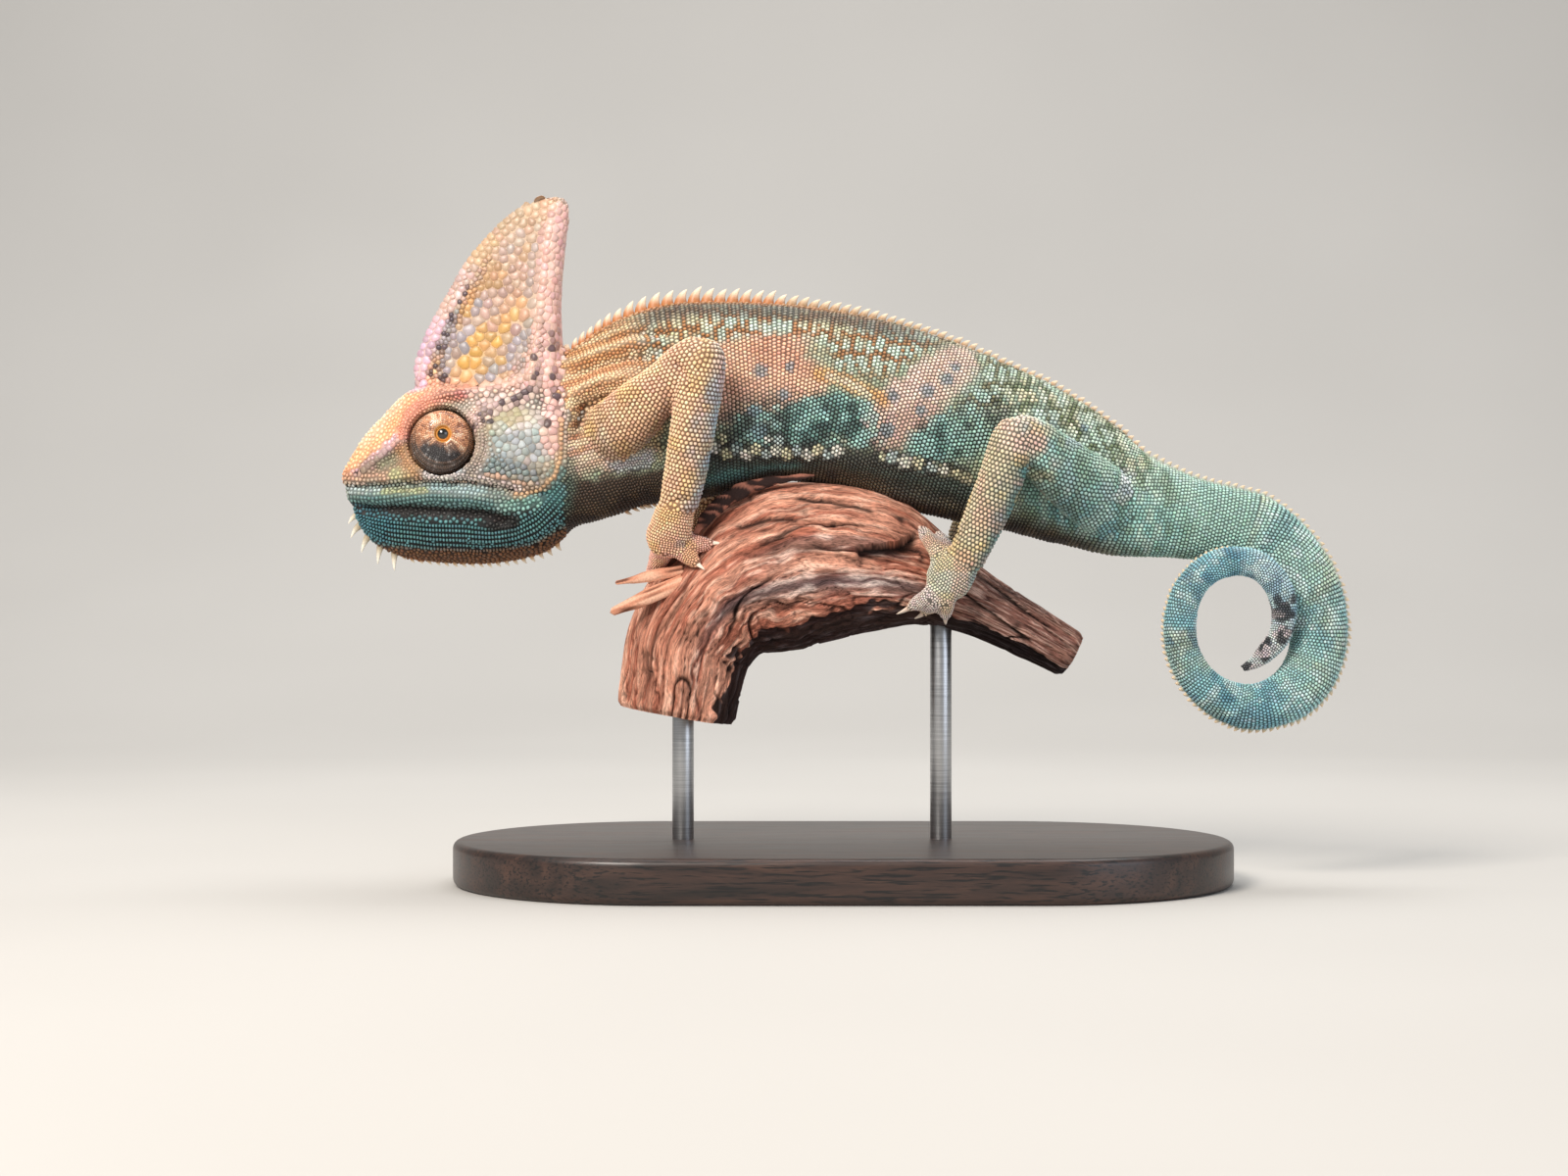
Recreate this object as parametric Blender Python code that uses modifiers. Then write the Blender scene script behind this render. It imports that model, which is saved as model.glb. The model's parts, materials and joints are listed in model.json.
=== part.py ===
"""Life-size still model of an adult male veiled chameleon on a short length of driftwood, on a plain stand.

The animal faces -X with its left side towards -Y. The frame's origin is the centre of the stand's underside
and +Z is up. Every number in the tables is in millimetres, and MM turns it into metres where it is used.
"""

import math

import bmesh
import bpy
import numpy as np
from mathutils import Matrix, Vector
from mathutils.bvhtree import BVHTree

MM = 0.001
GAP = 0.3  # clear space between neighbouring pieces, mm

# Neck, trunk and root of the tail. Each row is a section square to the backbone: x, y and z of its middle,
# half its height, half its width, and how far it is pear-shaped (narrow above, wide below).
TRUNK = [
    (-84.0, 0.0, 114.6, 19.6, 8.8, 0.10),
    (-72.8, 0.0, 120.4, 22.4, 9.6, 0.12),
    (-64.0, 0.0, 125.4, 24.2, 11.0, 0.16),
    (-53.7, 0.0, 129.6, 26.7, 13.2, 0.20),
    (-43.2, 0.0, 132.4, 27.4, 14.9, 0.22),
    (-29.7, 0.0, 134.0, 26.2, 15.9, 0.22),
    (-16.2, 0.0, 134.6, 24.6, 16.3, 0.20),
    (-2.7, 0.0, 132.7, 24.5, 16.3, 0.18),
    (10.8, 0.0, 129.8, 24.3, 15.9, 0.16),
    (24.2, 0.0, 125.6, 24.2, 15.1, 0.16),
    (37.5, 0.0, 121.4, 23.1, 14.0, 0.14),
    (51.0, 0.0, 116.8, 21.2, 12.7, 0.10),
    (64.3, 0.0, 110.8, 19.0, 11.4, 0.06),
    (77.5, 0.0, 104.6, 15.4, 10.2, 0.02),
    (91.7, 0.0, 100.9, 12.0, 9.0, 0.0),
    (102.6, 0.0, 98.9, 10.9, 8.2, 0.0),
]
# The coiled tail, round one point: angle from the level in degrees, distance, y, and half the tail's height.
COIL_X, COIL_Z = 108.0, 71.0
COIL = [
    (82.5, 25.9, 0.0, 10.9), (41.5, 22.9, -0.6, 10.0), (-4.4, 23.4, -1.8, 8.8), (-44.7, 24.3, -3.4, 7.8),
    (-82.9, 22.6, -5.1, 6.5), (-128.2, 18.6, -7.1, 5.2), (-181.4, 16.5, -9.1, 4.6), (-235.2, 17.5, -10.6, 4.4),
    (-284.0, 16.8, -10.9, 4.2), (-336.4, 12.8, -9.6, 3.8), (-401.6, 10.7, -7.0, 3.0), (-445.8, 12.2, -5.2, 1.2),
]
TAIL_FLATNESS = 0.28  # how much narrower than high the tail is where it is thickest

# Lengths of the body: first and last position along the rows of the backbone, sides, and rings for each row.
TRUNK_SIDES, TAIL_SIDES = 20, 12
BODY_PIECES = [
    ("neck", 0.0, 2.6, TRUNK_SIDES, 1.6),
    ("chest", 2.6, 5.5, TRUNK_SIDES, 1.6),
    ("belly", 5.5, 9.0, TRUNK_SIDES, 1.5),
    ("pelvis", 9.0, 12.6, TRUNK_SIDES, 1.5),
    ("tail_base", 12.6, 16.0, TAIL_SIDES + 4, 1.6),
    ("tail_bend", 16.0, 20.5, TAIL_SIDES, 1.6),
    ("tail_coil_outer", 20.5, 26.0, TAIL_SIDES, 1.5),
    ("tail_coil_inner", 26.0, 32.0, TAIL_SIDES - 2, 1.5),
    ("tail_tip", 32.0, 38.0, TAIL_SIDES - 2, 1.5),
]
NECK_PLANE_X = -75.2  # the head ends and the neck begins

# Upper head: x, height of the mouth line, height of the top, half-widths at lip, cheek and brow.
SKULL = [
    (-138.0, 109.6, 112.4, 1.6, 1.8, 1.2),
    (-136.4, 109.1, 115.2, 3.9, 3.9, 2.4),
    (-132.4, 108.8, 121.6, 6.4, 6.2, 4.0),
    (-127.0, 108.5, 127.6, 8.8, 8.0, 5.4),
    (-121.6, 108.5, 133.0, 10.3, 9.3, 6.8),
    (-117.2, 108.8, 135.7, 11.2, 10.3, 8.0),
    (-110.4, 109.4, 136.0, 12.2, 11.4, 9.2),
    (-102.6, 109.6, 136.0, 13.0, 12.8, 9.2),
    (-94.5, 108.6, 136.0, 13.3, 13.8, 8.8),
    (-86.4, 107.2, 136.0, 12.6, 13.4, 8.2),
    (-80.6, 106.8, 136.0, 11.6, 12.2, 7.6),
    (NECK_PLANE_X - GAP, 106.8, 136.0, 10.8, 11.4, 7.2),
]
# The section of the upper head from the middle of the palate round to the middle of the top: width named by the
# lip, cheek or brow it follows, the share of that width, and the share of the height.
SKULL_SECTION = [
    ("lip", 0.0, 0.0), ("lip", 0.72, 0.0), ("lip", 1.0, 0.1), ("cheek", 0.97, 0.34), ("cheek", 1.0, 0.58),
    ("brow", 1.12, 0.82), ("brow", 1.0, 0.95), ("brow", 0.6, 1.0), ("brow", 0.0, 1.0),
]

# Lower jaw and throat pouch: x, height of the mouth line, height of the keel, half-widths at lip and pouch.
JAW = [
    (-137.0, 108.9, 106.6, 2.0, 1.4),
    (-135.2, 108.6, 102.0, 4.4, 3.2),
    (-131.8, 108.3, 95.6, 6.2, 4.8),
    (-127.0, 108.1, 91.4, 8.2, 6.6),
    (-118.8, 108.1, 88.4, 10.3, 8.6),
    (-108.0, 109.0, 87.4, 11.7, 10.0),
    (-97.2, 108.6, 87.4, 12.4, 10.8),
    (-86.4, 106.8, 89.0, 12.0, 10.6),
    (-80.6, 106.4, 91.2, 11.2, 10.0),
    (NECK_PLANE_X - GAP, 106.4, 94.6, 10.4, 9.2),
]
JAW_SECTION = [
    ("lip", 0.0, 0.0), ("lip", 0.74, 0.0), ("lip", 1.0, 0.08), ("lip", 0.97, 0.24), ("pouch", 0.98, 0.44),
    ("pouch", 0.86, 0.66), ("pouch", 0.5, 0.86), ("pouch", 0.12, 0.97), ("pouch", 0.0, 1.0),
]

# Casque: height, x of the front crest, the side crest and the rear edge, and half its width at the side crest.
CASQUE = [
    (136.3, -117.8, -85.0, -75.7, 9.0),
    (141.0, -118.2, -83.9, -75.9, 8.0),
    (147.6, -116.2, -83.2, -76.8, 7.0),
    (156.0, -112.2, -82.4, -77.4, 6.0),
    (163.4, -108.0, -81.8, -77.2, 5.1),
    (172.2, -102.6, -81.2, -76.5, 4.2),
    (178.4, -97.2, -80.2, -75.7, 3.5),
    (183.6, -91.8, -79.4, -75.1, 2.8),
    (187.2, -86.4, -78.8, -75.6, 2.1),
    (189.4, -82.4, -79.4, -77.4, 1.2),
]
# From the front crest round to the rear edge: between which two edges, the share of the way and of the width.
CASQUE_SECTION = [
    ("blade", 0.0, 0.0), ("blade", 0.05, 0.2), ("blade", 0.3, 0.34), ("blade", 0.66, 0.58), ("blade", 1.0, 1.0),
    ("back", 0.5, 0.9), ("back", 0.9, 0.5), ("back", 1.0, 0.0),
]

# Eye turret: middle of the eye, then a turned profile of radius and distance from the middle plane of the head.
EYE_X, EYE_Z = -110.4, 121.6
EYE_BACK, EYE_UP = 6.0, 6.0  # degrees that the turrets look backwards and upwards
TURRET_PROFILE = [
    (0.0, 12.6), (2.5, 12.6), (2.5, 15.8), (3.0, 15.9), (4.5, 15.4), (6.3, 14.3), (7.7, 12.6), (8.4, 10.6),
    (8.5, 8.6), (8.2, 5.9), (0.0, 5.9),
]
SOCKET_RADIUS, SOCKET_FLOOR = 8.9, 5.6
LENS_RADIUS, LENS_MIDDLE, LENS_BACK = 2.2, 14.1, 12.9

# Legs of the left side: joints as x, y, z and half-thickness in the leg's plane and across it.
FORELEG = {
    "upper": [(-66.0, -7.0, 121.5, 8.0, 5.0), (-60.0, -13.0, 125.5, 8.6, 6.0), (-49.5, -20.5, 134.0, 6.8, 5.4),
              (-41.0, -25.2, 142.0, 5.9, 5.0), (-37.6, -26.3, 144.2, 4.6, 4.4)],
    "lower": [(-37.2, -26.4, 145.4, 4.4, 4.2), (-37.4, -26.6, 141.0, 6.2, 5.2), (-39.4, -25.2, 130.0, 6.3, 5.4),
              (-41.6, -22.6, 117.0, 6.1, 5.2), (-44.4, -19.2, 103.4, 5.4, 4.8)],
    "palm": [(-45.2, -18.8, 102.4, 5.3, 4.8), (-46.4, -17.8, 98.4, 5.8, 5.0), (-47.6, -16.6, 94.6, 6.2, 4.8),
             (-48.2, -15.8, 91.2, 4.8, 3.6)],
    "toes": [(-41.6, -19.8, 89.8), (-37.4, -16.6, 93.4), (-56.8, -11.4, 88.4), (-57.6, -6.8, 89.2),
               (-56.4, -2.4, 91.0)],
}
HINDLEG = {
    "upper": [(78.0, -4.0, 100.0, 8.5, 4.5), (68.0, -10.5, 106.5, 9.6, 6.6), (58.0, -17.0, 113.6, 8.6, 6.4),
              (49.5, -22.2, 120.4, 6.8, 5.6), (45.6, -24.2, 123.4, 5.0, 4.6)],
    "lower": [(45.6, -24.4, 124.2, 4.6, 4.4), (44.6, -24.8, 120.0, 6.1, 5.2), (41.4, -23.6, 109.6, 6.2, 5.4),
              (37.0, -21.6, 98.6, 5.8, 5.1), (32.4, -19.6, 88.6, 5.2, 4.7)],
    "palm": [(31.8, -19.4, 87.8, 5.2, 4.7), (29.5, -18.6, 85.2, 6.3, 4.8), (27.1, -17.4, 82.4, 6.2, 4.6),
             (25.4, -16.4, 80.4, 4.4, 3.6)],
    "toes": [(18.6, -16.6, 75.8), (22.6, -16.8, 73.4), (27.0, -16.4, 72.8), (20.2, -10.2, 94.0),
               (25.6, -8.6, 94.0)],
}
RIGHT_STEP = {"fore": 7.0, "hind": 0.0}  # how far the right leg of each pair is set back towards the tail
LEG_SIDES = 12
TOE_RADII = (2.9, 2.4, 1.55)  # at the palm, the knuckle and the claw
CLAW_RADII, CLAW_LENGTH = (1.05, 0.8, 0.3), 4.2

# Crests: rows of spines. first and last are positions along the backbone, and x in the throat's crest.
BACK_CREST = {"first": 1.5, "last": 12.4, "count": 42, "side": 1, "heights": (1.6, 3.7, 1.3), "peak": 0.2}
BELLY_CREST = {"first": 1.4, "last": 3.6, "count": 8, "side": -1, "height": 1.5}
THROAT_CREST = {"first": -126.0, "last": -77.5, "count": 16, "height": 1.2}
SPINE_ROOT, SPINE_TIP = 1.0, 0.26  # how deep a spine's foot is sunk, and the radius of its tip
# Spines of the chin: x, z of the foot, and the way they point in degrees.
CHIN_SPINES = [
    (-134.2, 100.6, 190.0), (-133.8, 97.6, 205.0), (-131.6, 94.6, 224.0), (-128.2, 92.2, 245.0),
    (-124.4, 90.6, 258.0),
]
CHIN_SPINE_LENGTH = 4.4

# Driftwood: x, y, z of its middle, half its thickness seen from the side, half its depth.
BOUGH = [
    (-45.6, 0.5, 46.0, 17.2, 16.5), (-44.0, 0.0, 55.0, 17.6, 18.0), (-41.0, 0.0, 67.0, 18.6, 19.6),
    (-32.4, 0.0, 78.0, 20.0, 20.6), (-17.6, 0.0, 84.4, 22.4, 20.8), (-2.7, 0.0, 86.0, 20.6, 19.6),
    (10.8, 0.0, 85.2, 17.6, 17.6), (24.3, 0.0, 81.8, 13.0, 15.2), (37.8, 0.0, 75.6, 9.6, 13.0),
    (51.3, 0.5, 68.6, 8.4, 11.4), (63.0, 1.0, 62.0, 7.6, 10.4),
]
BOUGH_SIDES = 16
SPLINTERS = [  # root, tip, half-thickness at the root and the tip
    ((-43.0, -14.5, 82.5), (-62.4, -15.0, 74.6), 2.4, 1.1),
    ((-43.5, -14.0, 86.0), (-61.4, -15.5, 82.4), 1.6, 0.7),
]
BOUGH_LUMPS = [(2, 0.05, 0.7, 1.3), (3, 0.045, 2.1, -0.8), (5, 0.025, 0.4, 2.2)]  # lobes, depth, phase, twist

BASE = {"length": 214.0, "width": 116.0, "thickness": 12.0, "edge": 2.0}
RODS = {"stand_rod_front": (-44.0, 0.0, 58.0), "stand_rod_rear": (27.0, 0.0, 78.0)}  # x, y, height of the top
ROD_RADIUS, ROD_CLEARANCE, ROD_DEPTH = 3.0, 0.3, 7.0
ROD_SIDES = 16

FINISHES = {
    "scaly_skin": ((0.30, 0.46, 0.42), 0.62, 0.0),
    "casque_scales": ((0.62, 0.52, 0.34), 0.6, 0.0),
    "turret_skin": ((0.36, 0.22, 0.14), 0.5, 0.0),
    "eye": ((0.02, 0.015, 0.012), 0.08, 0.0),
    "claw": ((0.62, 0.5, 0.42), 0.4, 0.0),
    "driftwood": ((0.36, 0.16, 0.10), 0.85, 0.0),
    "stained_wood": ((0.055, 0.04, 0.034), 0.45, 0.0),
    "steel": ((0.55, 0.55, 0.56), 0.3, 1.0),
}


def clear_scene():
    for obj in list(bpy.data.objects):
        bpy.data.objects.remove(obj)


def new_collection(name):
    made = bpy.data.collections.new(name)
    bpy.context.scene.collection.children.link(made)
    return made


def finish_material(name):
    found = bpy.data.materials.get(name)
    if found:
        return found
    colour, roughness, metallic = FINISHES[name]
    made = bpy.data.materials.new(name)
    made.use_nodes = True
    shader = made.node_tree.nodes["Principled BSDF"]
    shader.inputs["Base Color"].default_value = (*colour, 1.0)
    shader.inputs["Roughness"].default_value = roughness
    shader.inputs["Metallic"].default_value = metallic
    return made


def finished_object(name, mesh, finish, collection):
    mesh.shade_smooth()
    mesh.set_sharp_from_angle(angle=math.radians(50))
    mesh.materials.clear()
    mesh.materials.append(finish_material(finish))
    obj = bpy.data.objects.new(name, mesh)
    collection.objects.link(obj)
    return obj


def object_from(name, bm, finish, collection):
    bmesh.ops.recalc_face_normals(bm, faces=bm.faces)
    mesh = bpy.data.meshes.new(name)
    bm.to_mesh(mesh)
    bm.free()
    return finished_object(name, mesh, finish, collection)


def as_mesh(obj):
    """The object's shape with its modifiers, or its bevel if it is a curve, as a new mesh."""
    bpy.context.view_layer.update()
    graph = bpy.context.evaluated_depsgraph_get()
    return bpy.data.meshes.new_from_object(obj.evaluated_get(graph))


def apply_modifiers(obj):
    mesh = as_mesh(obj)
    obj.modifiers.clear()
    obj.data = mesh
    return obj


def solid_curve(name, curve, finish, collection):
    """The closed solid of a curve, whose caps are welded on."""
    guide = bpy.data.objects.new(name, curve)
    collection.objects.link(guide)
    bm = bmesh.new()
    bm.from_mesh(as_mesh(guide))
    bpy.data.objects.remove(guide)
    bmesh.ops.remove_doubles(bm, verts=bm.verts, dist=1e-6)
    return object_from(name, bm, finish, collection)


def smooth_rows(rows, at):
    """A smooth curve through the rows of a table, read at the given positions along it."""
    table = np.array(rows, float)
    last = len(table) - 1
    at = np.clip(np.asarray(at, float), 0, last)
    i = np.minimum(at.astype(int), last - 1)
    t = (at - i)[:, None]
    before, after = np.maximum(i - 1, 0), np.minimum(i + 2, last)
    p0, p1, p2, p3 = table[before], table[i], table[i + 1], table[after]
    square, cube = 2 * p0 - 5 * p1 + 4 * p2 - p3, 3 * p1 - p0 - 3 * p2 + p3
    return 0.5 * (2 * p1 + (p2 - p0) * t + square * t**2 + cube * t**3)


def unit_rows(vectors):
    return vectors / np.linalg.norm(vectors, axis=1)[:, None]


def loft(name, rings, finish, collection):
    """A closed solid through rings of points in millimetres, with flat ends."""
    bm = bmesh.new()
    rows = [[bm.verts.new(Vector(p) * MM) for p in ring] for ring in rings]
    count = len(rows[0])
    for one, two in zip(rows, rows[1:]):
        for k in range(count):
            bm.faces.new((one[k], one[(k + 1) % count], two[(k + 1) % count], two[k]))
    bm.faces.new(rows[0][::-1])
    bm.faces.new(rows[-1])
    return object_from(name, bm, finish, collection)


def tapered_tube(name, points, radii, finish, collection):
    """A six-sided tube along a short path, with a radius for each point. All in millimetres."""
    curve = bpy.data.curves.new(name, "CURVE")
    curve.dimensions = "3D"
    curve.bevel_depth = MM
    curve.bevel_resolution = 1
    curve.use_fill_caps = True
    spline = curve.splines.new("POLY")
    spline.points.add(len(points) - 1)
    for knot, point, radius in zip(spline.points, points, radii):
        knot.co = (*(Vector(point) * MM), 1.0)
        knot.radius = radius
    return solid_curve(name, curve, finish, collection)


def turned(name, profile, sides, finish, collection):
    """A profile of radius and height, from its top down its outer side, turned about Z."""
    mesh = bpy.data.meshes.new(name)
    edges = [(k, k + 1) for k in range(len(profile) - 1)]
    mesh.from_pydata([(r * MM, 0, z * MM) for r, z in profile], edges, [])
    obj = finished_object(name, mesh, finish, collection)
    screw = obj.modifiers.new("turn", "SCREW")
    screw.steps = screw.render_steps = sides
    screw.use_merge_vertices = True
    screw.merge_threshold = 1e-5
    return apply_modifiers(obj)


def upright_cylinder(name, radius, low, high, place, finish, collection):
    bm = bmesh.new()
    middle = Matrix.Translation(Vector((place[0], place[1], (low + high) / 2)) * MM)
    bmesh.ops.create_cone(bm, cap_ends=True, segments=ROD_SIDES, radius1=radius * MM, radius2=radius * MM,
                          depth=(high - low) * MM, matrix=middle)
    return object_from(name, bm, finish, collection)


def boolean(obj, other, operation):
    modifier = obj.modifiers.new(operation.lower(), "BOOLEAN")
    modifier.operation = operation
    modifier.use_self = True
    modifier.object = other
    return apply_modifiers(obj)


def join(obj, others):
    """One body of obj and the others, which are then removed."""
    for other in others:
        boolean(obj, other, "UNION")
        bpy.data.objects.remove(other)
    return obj


def swollen_copy(name, obj, by, helpers):
    """A cutter: obj with its surface moved outwards, so that what it cuts keeps its distance."""
    copy = bpy.data.objects.new(name, obj.data.copy())
    helpers.objects.link(copy)
    normals = [v.normal.copy() for v in copy.data.vertices]
    for vertex, normal in zip(copy.data.vertices, normals):
        vertex.co += normal * by * MM
    copy.hide_render = True
    copy.display_type = "WIRE"
    return copy


def trim_flat(obj, point, normal):
    """Cuts away what lies beyond a plane, on the side its normal points to, and closes the cut."""
    bm = bmesh.new()
    bm.from_mesh(obj.data)
    geometry = bm.verts[:] + bm.edges[:] + bm.faces[:]
    cut = bmesh.ops.bisect_plane(bm, geom=geometry, plane_co=Vector(point) * MM, plane_no=normal, clear_outer=True,
                                 dist=1e-7)
    edges = [e for e in cut["geom_cut"] if isinstance(e, bmesh.types.BMEdge)]
    bmesh.ops.holes_fill(bm, edges=edges, sides=0)
    bmesh.ops.recalc_face_normals(bm, faces=bm.faces)
    bm.to_mesh(obj.data)
    bm.free()
    return obj


def backbone_rows():
    """TRUNK, then the coil's rows in the same form, two for each row of COIL."""
    rows = list(TRUNK)
    for angle, distance, y, height in smooth_rows(COIL, np.arange(0, len(COIL) - 0.5, 0.5)):
        x = COIL_X + distance * math.cos(math.radians(angle))
        z = COIL_Z + distance * math.sin(math.radians(angle))
        width = height * (1 - TAIL_FLATNESS * height / COIL[0][3])
        rows.append((x, y, z, height, width, 0.0))
    return rows


BACKBONE = backbone_rows()


def backbone_at(at):
    """Section, tangent and upward direction at positions along the backbone."""
    at = np.asarray(at, float)
    step = 0.05
    tangent = unit_rows((smooth_rows(BACKBONE, at + step) - smooth_rows(BACKBONE, at - step))[:, :3])
    up = unit_rows(np.stack([-tangent[:, 2], np.zeros(len(at)), tangent[:, 0]], axis=1))
    return smooth_rows(BACKBONE, at), tangent, up


def body_rings(at, sides):
    here, _, up = backbone_at(at)
    rings = []
    for (x, y, z, height, width, pear), u in zip(here, up):
        ring = []
        for angle in np.linspace(0, 2 * math.pi, sides, endpoint=False):
            rise = math.cos(angle)
            side = math.copysign(abs(math.sin(angle)) ** 0.88, math.sin(angle)) * width * (1 - pear * rise)
            ring.append((x + u[0] * rise * height, y + side, z + u[2] * rise * height))
        rings.append(ring)
    return rings


def positions_between(first, last, rings_per_row):
    """Positions of one piece's rings, drawn in at both ends by half the gap."""
    reach = 0.1
    ends = []
    for at, way in ((first, 1), (last, -1)):
        near = smooth_rows(BACKBONE, [at, at + way * reach])[:, :3]
        ends.append(at + way * GAP / 2 * reach / np.linalg.norm(near[1] - near[0]))
    return np.linspace(ends[0], ends[1], max(3, round((last - first) * rings_per_row) + 1))


def spines(name, rows, helpers):
    """One object of many small cones. Each row is the foot, the direction, the length and the radius."""
    bm = bmesh.new()
    for foot, direction, length, radius in rows:
        way = Vector(direction).normalized()
        place = Matrix.Translation((Vector(foot) + way * length / 2) * MM)
        turn = way.to_track_quat("Z", "Y").to_matrix().to_4x4()
        bmesh.ops.create_cone(bm, cap_ends=True, segments=4, radius1=radius * MM, radius2=SPINE_TIP * MM,
                              depth=length * MM, matrix=place @ turn)
    return object_from(name, bm, "scaly_skin", helpers)


def crest_height(share):
    start, tall, end = BACK_CREST["heights"]
    peak = BACK_CREST["peak"]
    if share < peak:
        return start + (tall - start) * share / peak
    return tall + (end - tall) * ((share - peak) / (1 - peak)) ** 0.8


def crest_spines(crest, first, last, helpers):
    """The spines of the back or belly crest whose feet lie on the piece between two positions."""
    rows = []
    for number in range(crest["count"]):
        share = number / (crest["count"] - 1)
        at = crest["first"] + share * (crest["last"] - crest["first"])
        here, tangent, up = (found[0] for found in backbone_at([at]))
        away = up * crest["side"]
        foot = here[:3] + away * (here[3] - SPINE_ROOT)
        if first + 0.12 < at < last - 0.12 and foot[0] > NECK_PLANE_X + 2:
            height = crest_height(share) if crest is BACK_CREST else crest["height"]
            rows.append((foot, away + tangent * 0.45, height + SPINE_ROOT, 0.42 * height + 0.3))
    return [spines("spines", rows, helpers)] if rows else []


def make_body(parts, helpers):
    """Neck, trunk and tail, and one swollen copy of the whole that the legs are cut by."""
    whole = loft("whole_body", body_rings(np.linspace(0, 17, 41), TRUNK_SIDES), "scaly_skin", helpers)
    cutter = swollen_copy("body_cutter", whole, GAP, helpers)
    bpy.data.objects.remove(whole)
    for name, first, last, sides, rings_per_row in BODY_PIECES:
        rings = body_rings(positions_between(first, last, rings_per_row), sides)
        piece = loft(name, rings, "scaly_skin", parts)
        if name == "neck":
            trim_flat(piece, (NECK_PLANE_X, 0, 0), (-1, 0, 0))
        join(piece, crest_spines(BACK_CREST, first, last, helpers) + crest_spines(BELLY_CREST, first, last, helpers))
    return cutter


def closed_section(half):
    """A half section, from one point on the middle plane to the other, with its mirror image."""
    return half + [(-side, along) for side, along in half[-2:0:-1]]


def head_rings(rows, widths, section):
    """Rings across the head. Each section point names the width it follows, its share of it and of the height."""
    rings = []
    for x, low, high, *sizes in rows:
        sizes = dict(zip(widths, sizes))
        half = [(sizes[width] * share, low + (high - low) * rise) for width, share, rise in section]
        rings.append([(x, side, z) for side, z in closed_section(half)])
    return rings


def casque_rings():
    rings = []
    for z, front, ridge, rear, width in CASQUE:
        edges = {"blade": (front, ridge), "back": (ridge, rear)}
        half = []
        for between, share, wide in CASQUE_SECTION:
            start, end = edges[between]
            half.append((wide * width, start + (end - start) * share))
        rings.append([(x, side, z) for side, x in closed_section(half)])
    return rings


def aim_sideways(obj, side):
    """Turns an object made about Z to look out of the eye's place. side is -1 on the left and 1 on the right."""
    back, up = math.radians(EYE_BACK), math.radians(EYE_UP)
    outwards = Vector((math.sin(back), side * math.cos(back), math.sin(up)))
    turn = outwards.to_track_quat("Z", "Y").to_matrix().to_4x4()
    obj.data.transform(Matrix.Translation(Vector((EYE_X, 0, EYE_Z)) * MM) @ turn)
    return obj


def make_eye(side, word, skull, parts, helpers):
    """A turret in a socket of the head, and the eye that shows in the opening of its lids."""
    bore = [(0, 25), (SOCKET_RADIUS, 25), (SOCKET_RADIUS, SOCKET_FLOOR), (0, SOCKET_FLOOR)]
    socket = aim_sideways(turned("socket", bore, 20, "turret_skin", helpers), side)
    boolean(skull, socket, "DIFFERENCE")
    bpy.data.objects.remove(socket)
    aim_sideways(turned(f"eye_turret_{word}", TURRET_PROFILE, 18, "turret_skin", parts), side)
    ball = [(LENS_RADIUS * math.sin(a), LENS_MIDDLE + LENS_RADIUS * math.cos(a))
            for a in np.radians((0, 30, 60, 90, 120))]
    aim_sideways(turned(f"eye_{word}", ball + [(0, LENS_BACK)], 12, "eye", parts), side)


def throat_spines(helpers):
    rows = []
    for x, z, angle in CHIN_SPINES:
        way = (math.cos(math.radians(angle)), 0, math.sin(math.radians(angle)))
        rows.append(((x + 1.2, 0, z + 1.0), way, CHIN_SPINE_LENGTH, 0.85))
    keel_x, keel_z = [row[0] for row in JAW], [row[2] for row in JAW]
    for x in np.linspace(THROAT_CREST["first"], THROAT_CREST["last"], THROAT_CREST["count"]):
        share = (x - THROAT_CREST["first"]) / (THROAT_CREST["last"] - THROAT_CREST["first"])
        height = THROAT_CREST["height"] * (0.7 + 0.7 * share)
        rows.append(((x, 0, np.interp(x, keel_x, keel_z) + SPINE_ROOT), (0.35, 0, -1), height + SPINE_ROOT, 0.62))
    return spines("throat_spines", rows, helpers)


def make_head(parts, helpers):
    skull = loft("head", head_rings(SKULL, ("lip", "cheek", "brow"), SKULL_SECTION), "scaly_skin", parts)
    for side, word in ((-1, "left"), (1, "right")):
        make_eye(side, word, skull, parts, helpers)
    jaw = loft("jaw_and_throat", head_rings(JAW, ("lip", "pouch"), JAW_SECTION), "scaly_skin", parts)
    join(jaw, [throat_spines(helpers)])
    loft("casque", casque_rings(), "casque_scales", parts)


def limb_rings(rows, mirror, shift):
    """Oval rings square to a path of x, y, z and half-thickness in the leg's own plane and across it."""
    table = np.array(rows, float)
    table[:, 0] += shift
    table[:, 1] *= mirror
    here = smooth_rows(table, np.arange(0, len(table) - 0.5, 0.5))
    tangent = unit_rows(np.gradient(here[:, :3], axis=0))
    across = unit_rows(np.cross(tangent, (0.0, 1.0, 0.0)))
    outward = np.cross(across, tangent)
    angles = np.linspace(0, 2 * math.pi, LEG_SIDES, endpoint=False)
    return [[centre[:3] + a * centre[3] * math.cos(t) + o * centre[4] * math.sin(t) for t in angles]
            for centre, a, o in zip(here, across, outward)]


def on_wood(wood, point, lift):
    """The nearest place on the driftwood, raised by lift, and the wood's normal there."""
    place, normal, _, _ = wood.find_nearest(Vector(point) * MM)
    return place / MM + normal * lift, normal


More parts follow.
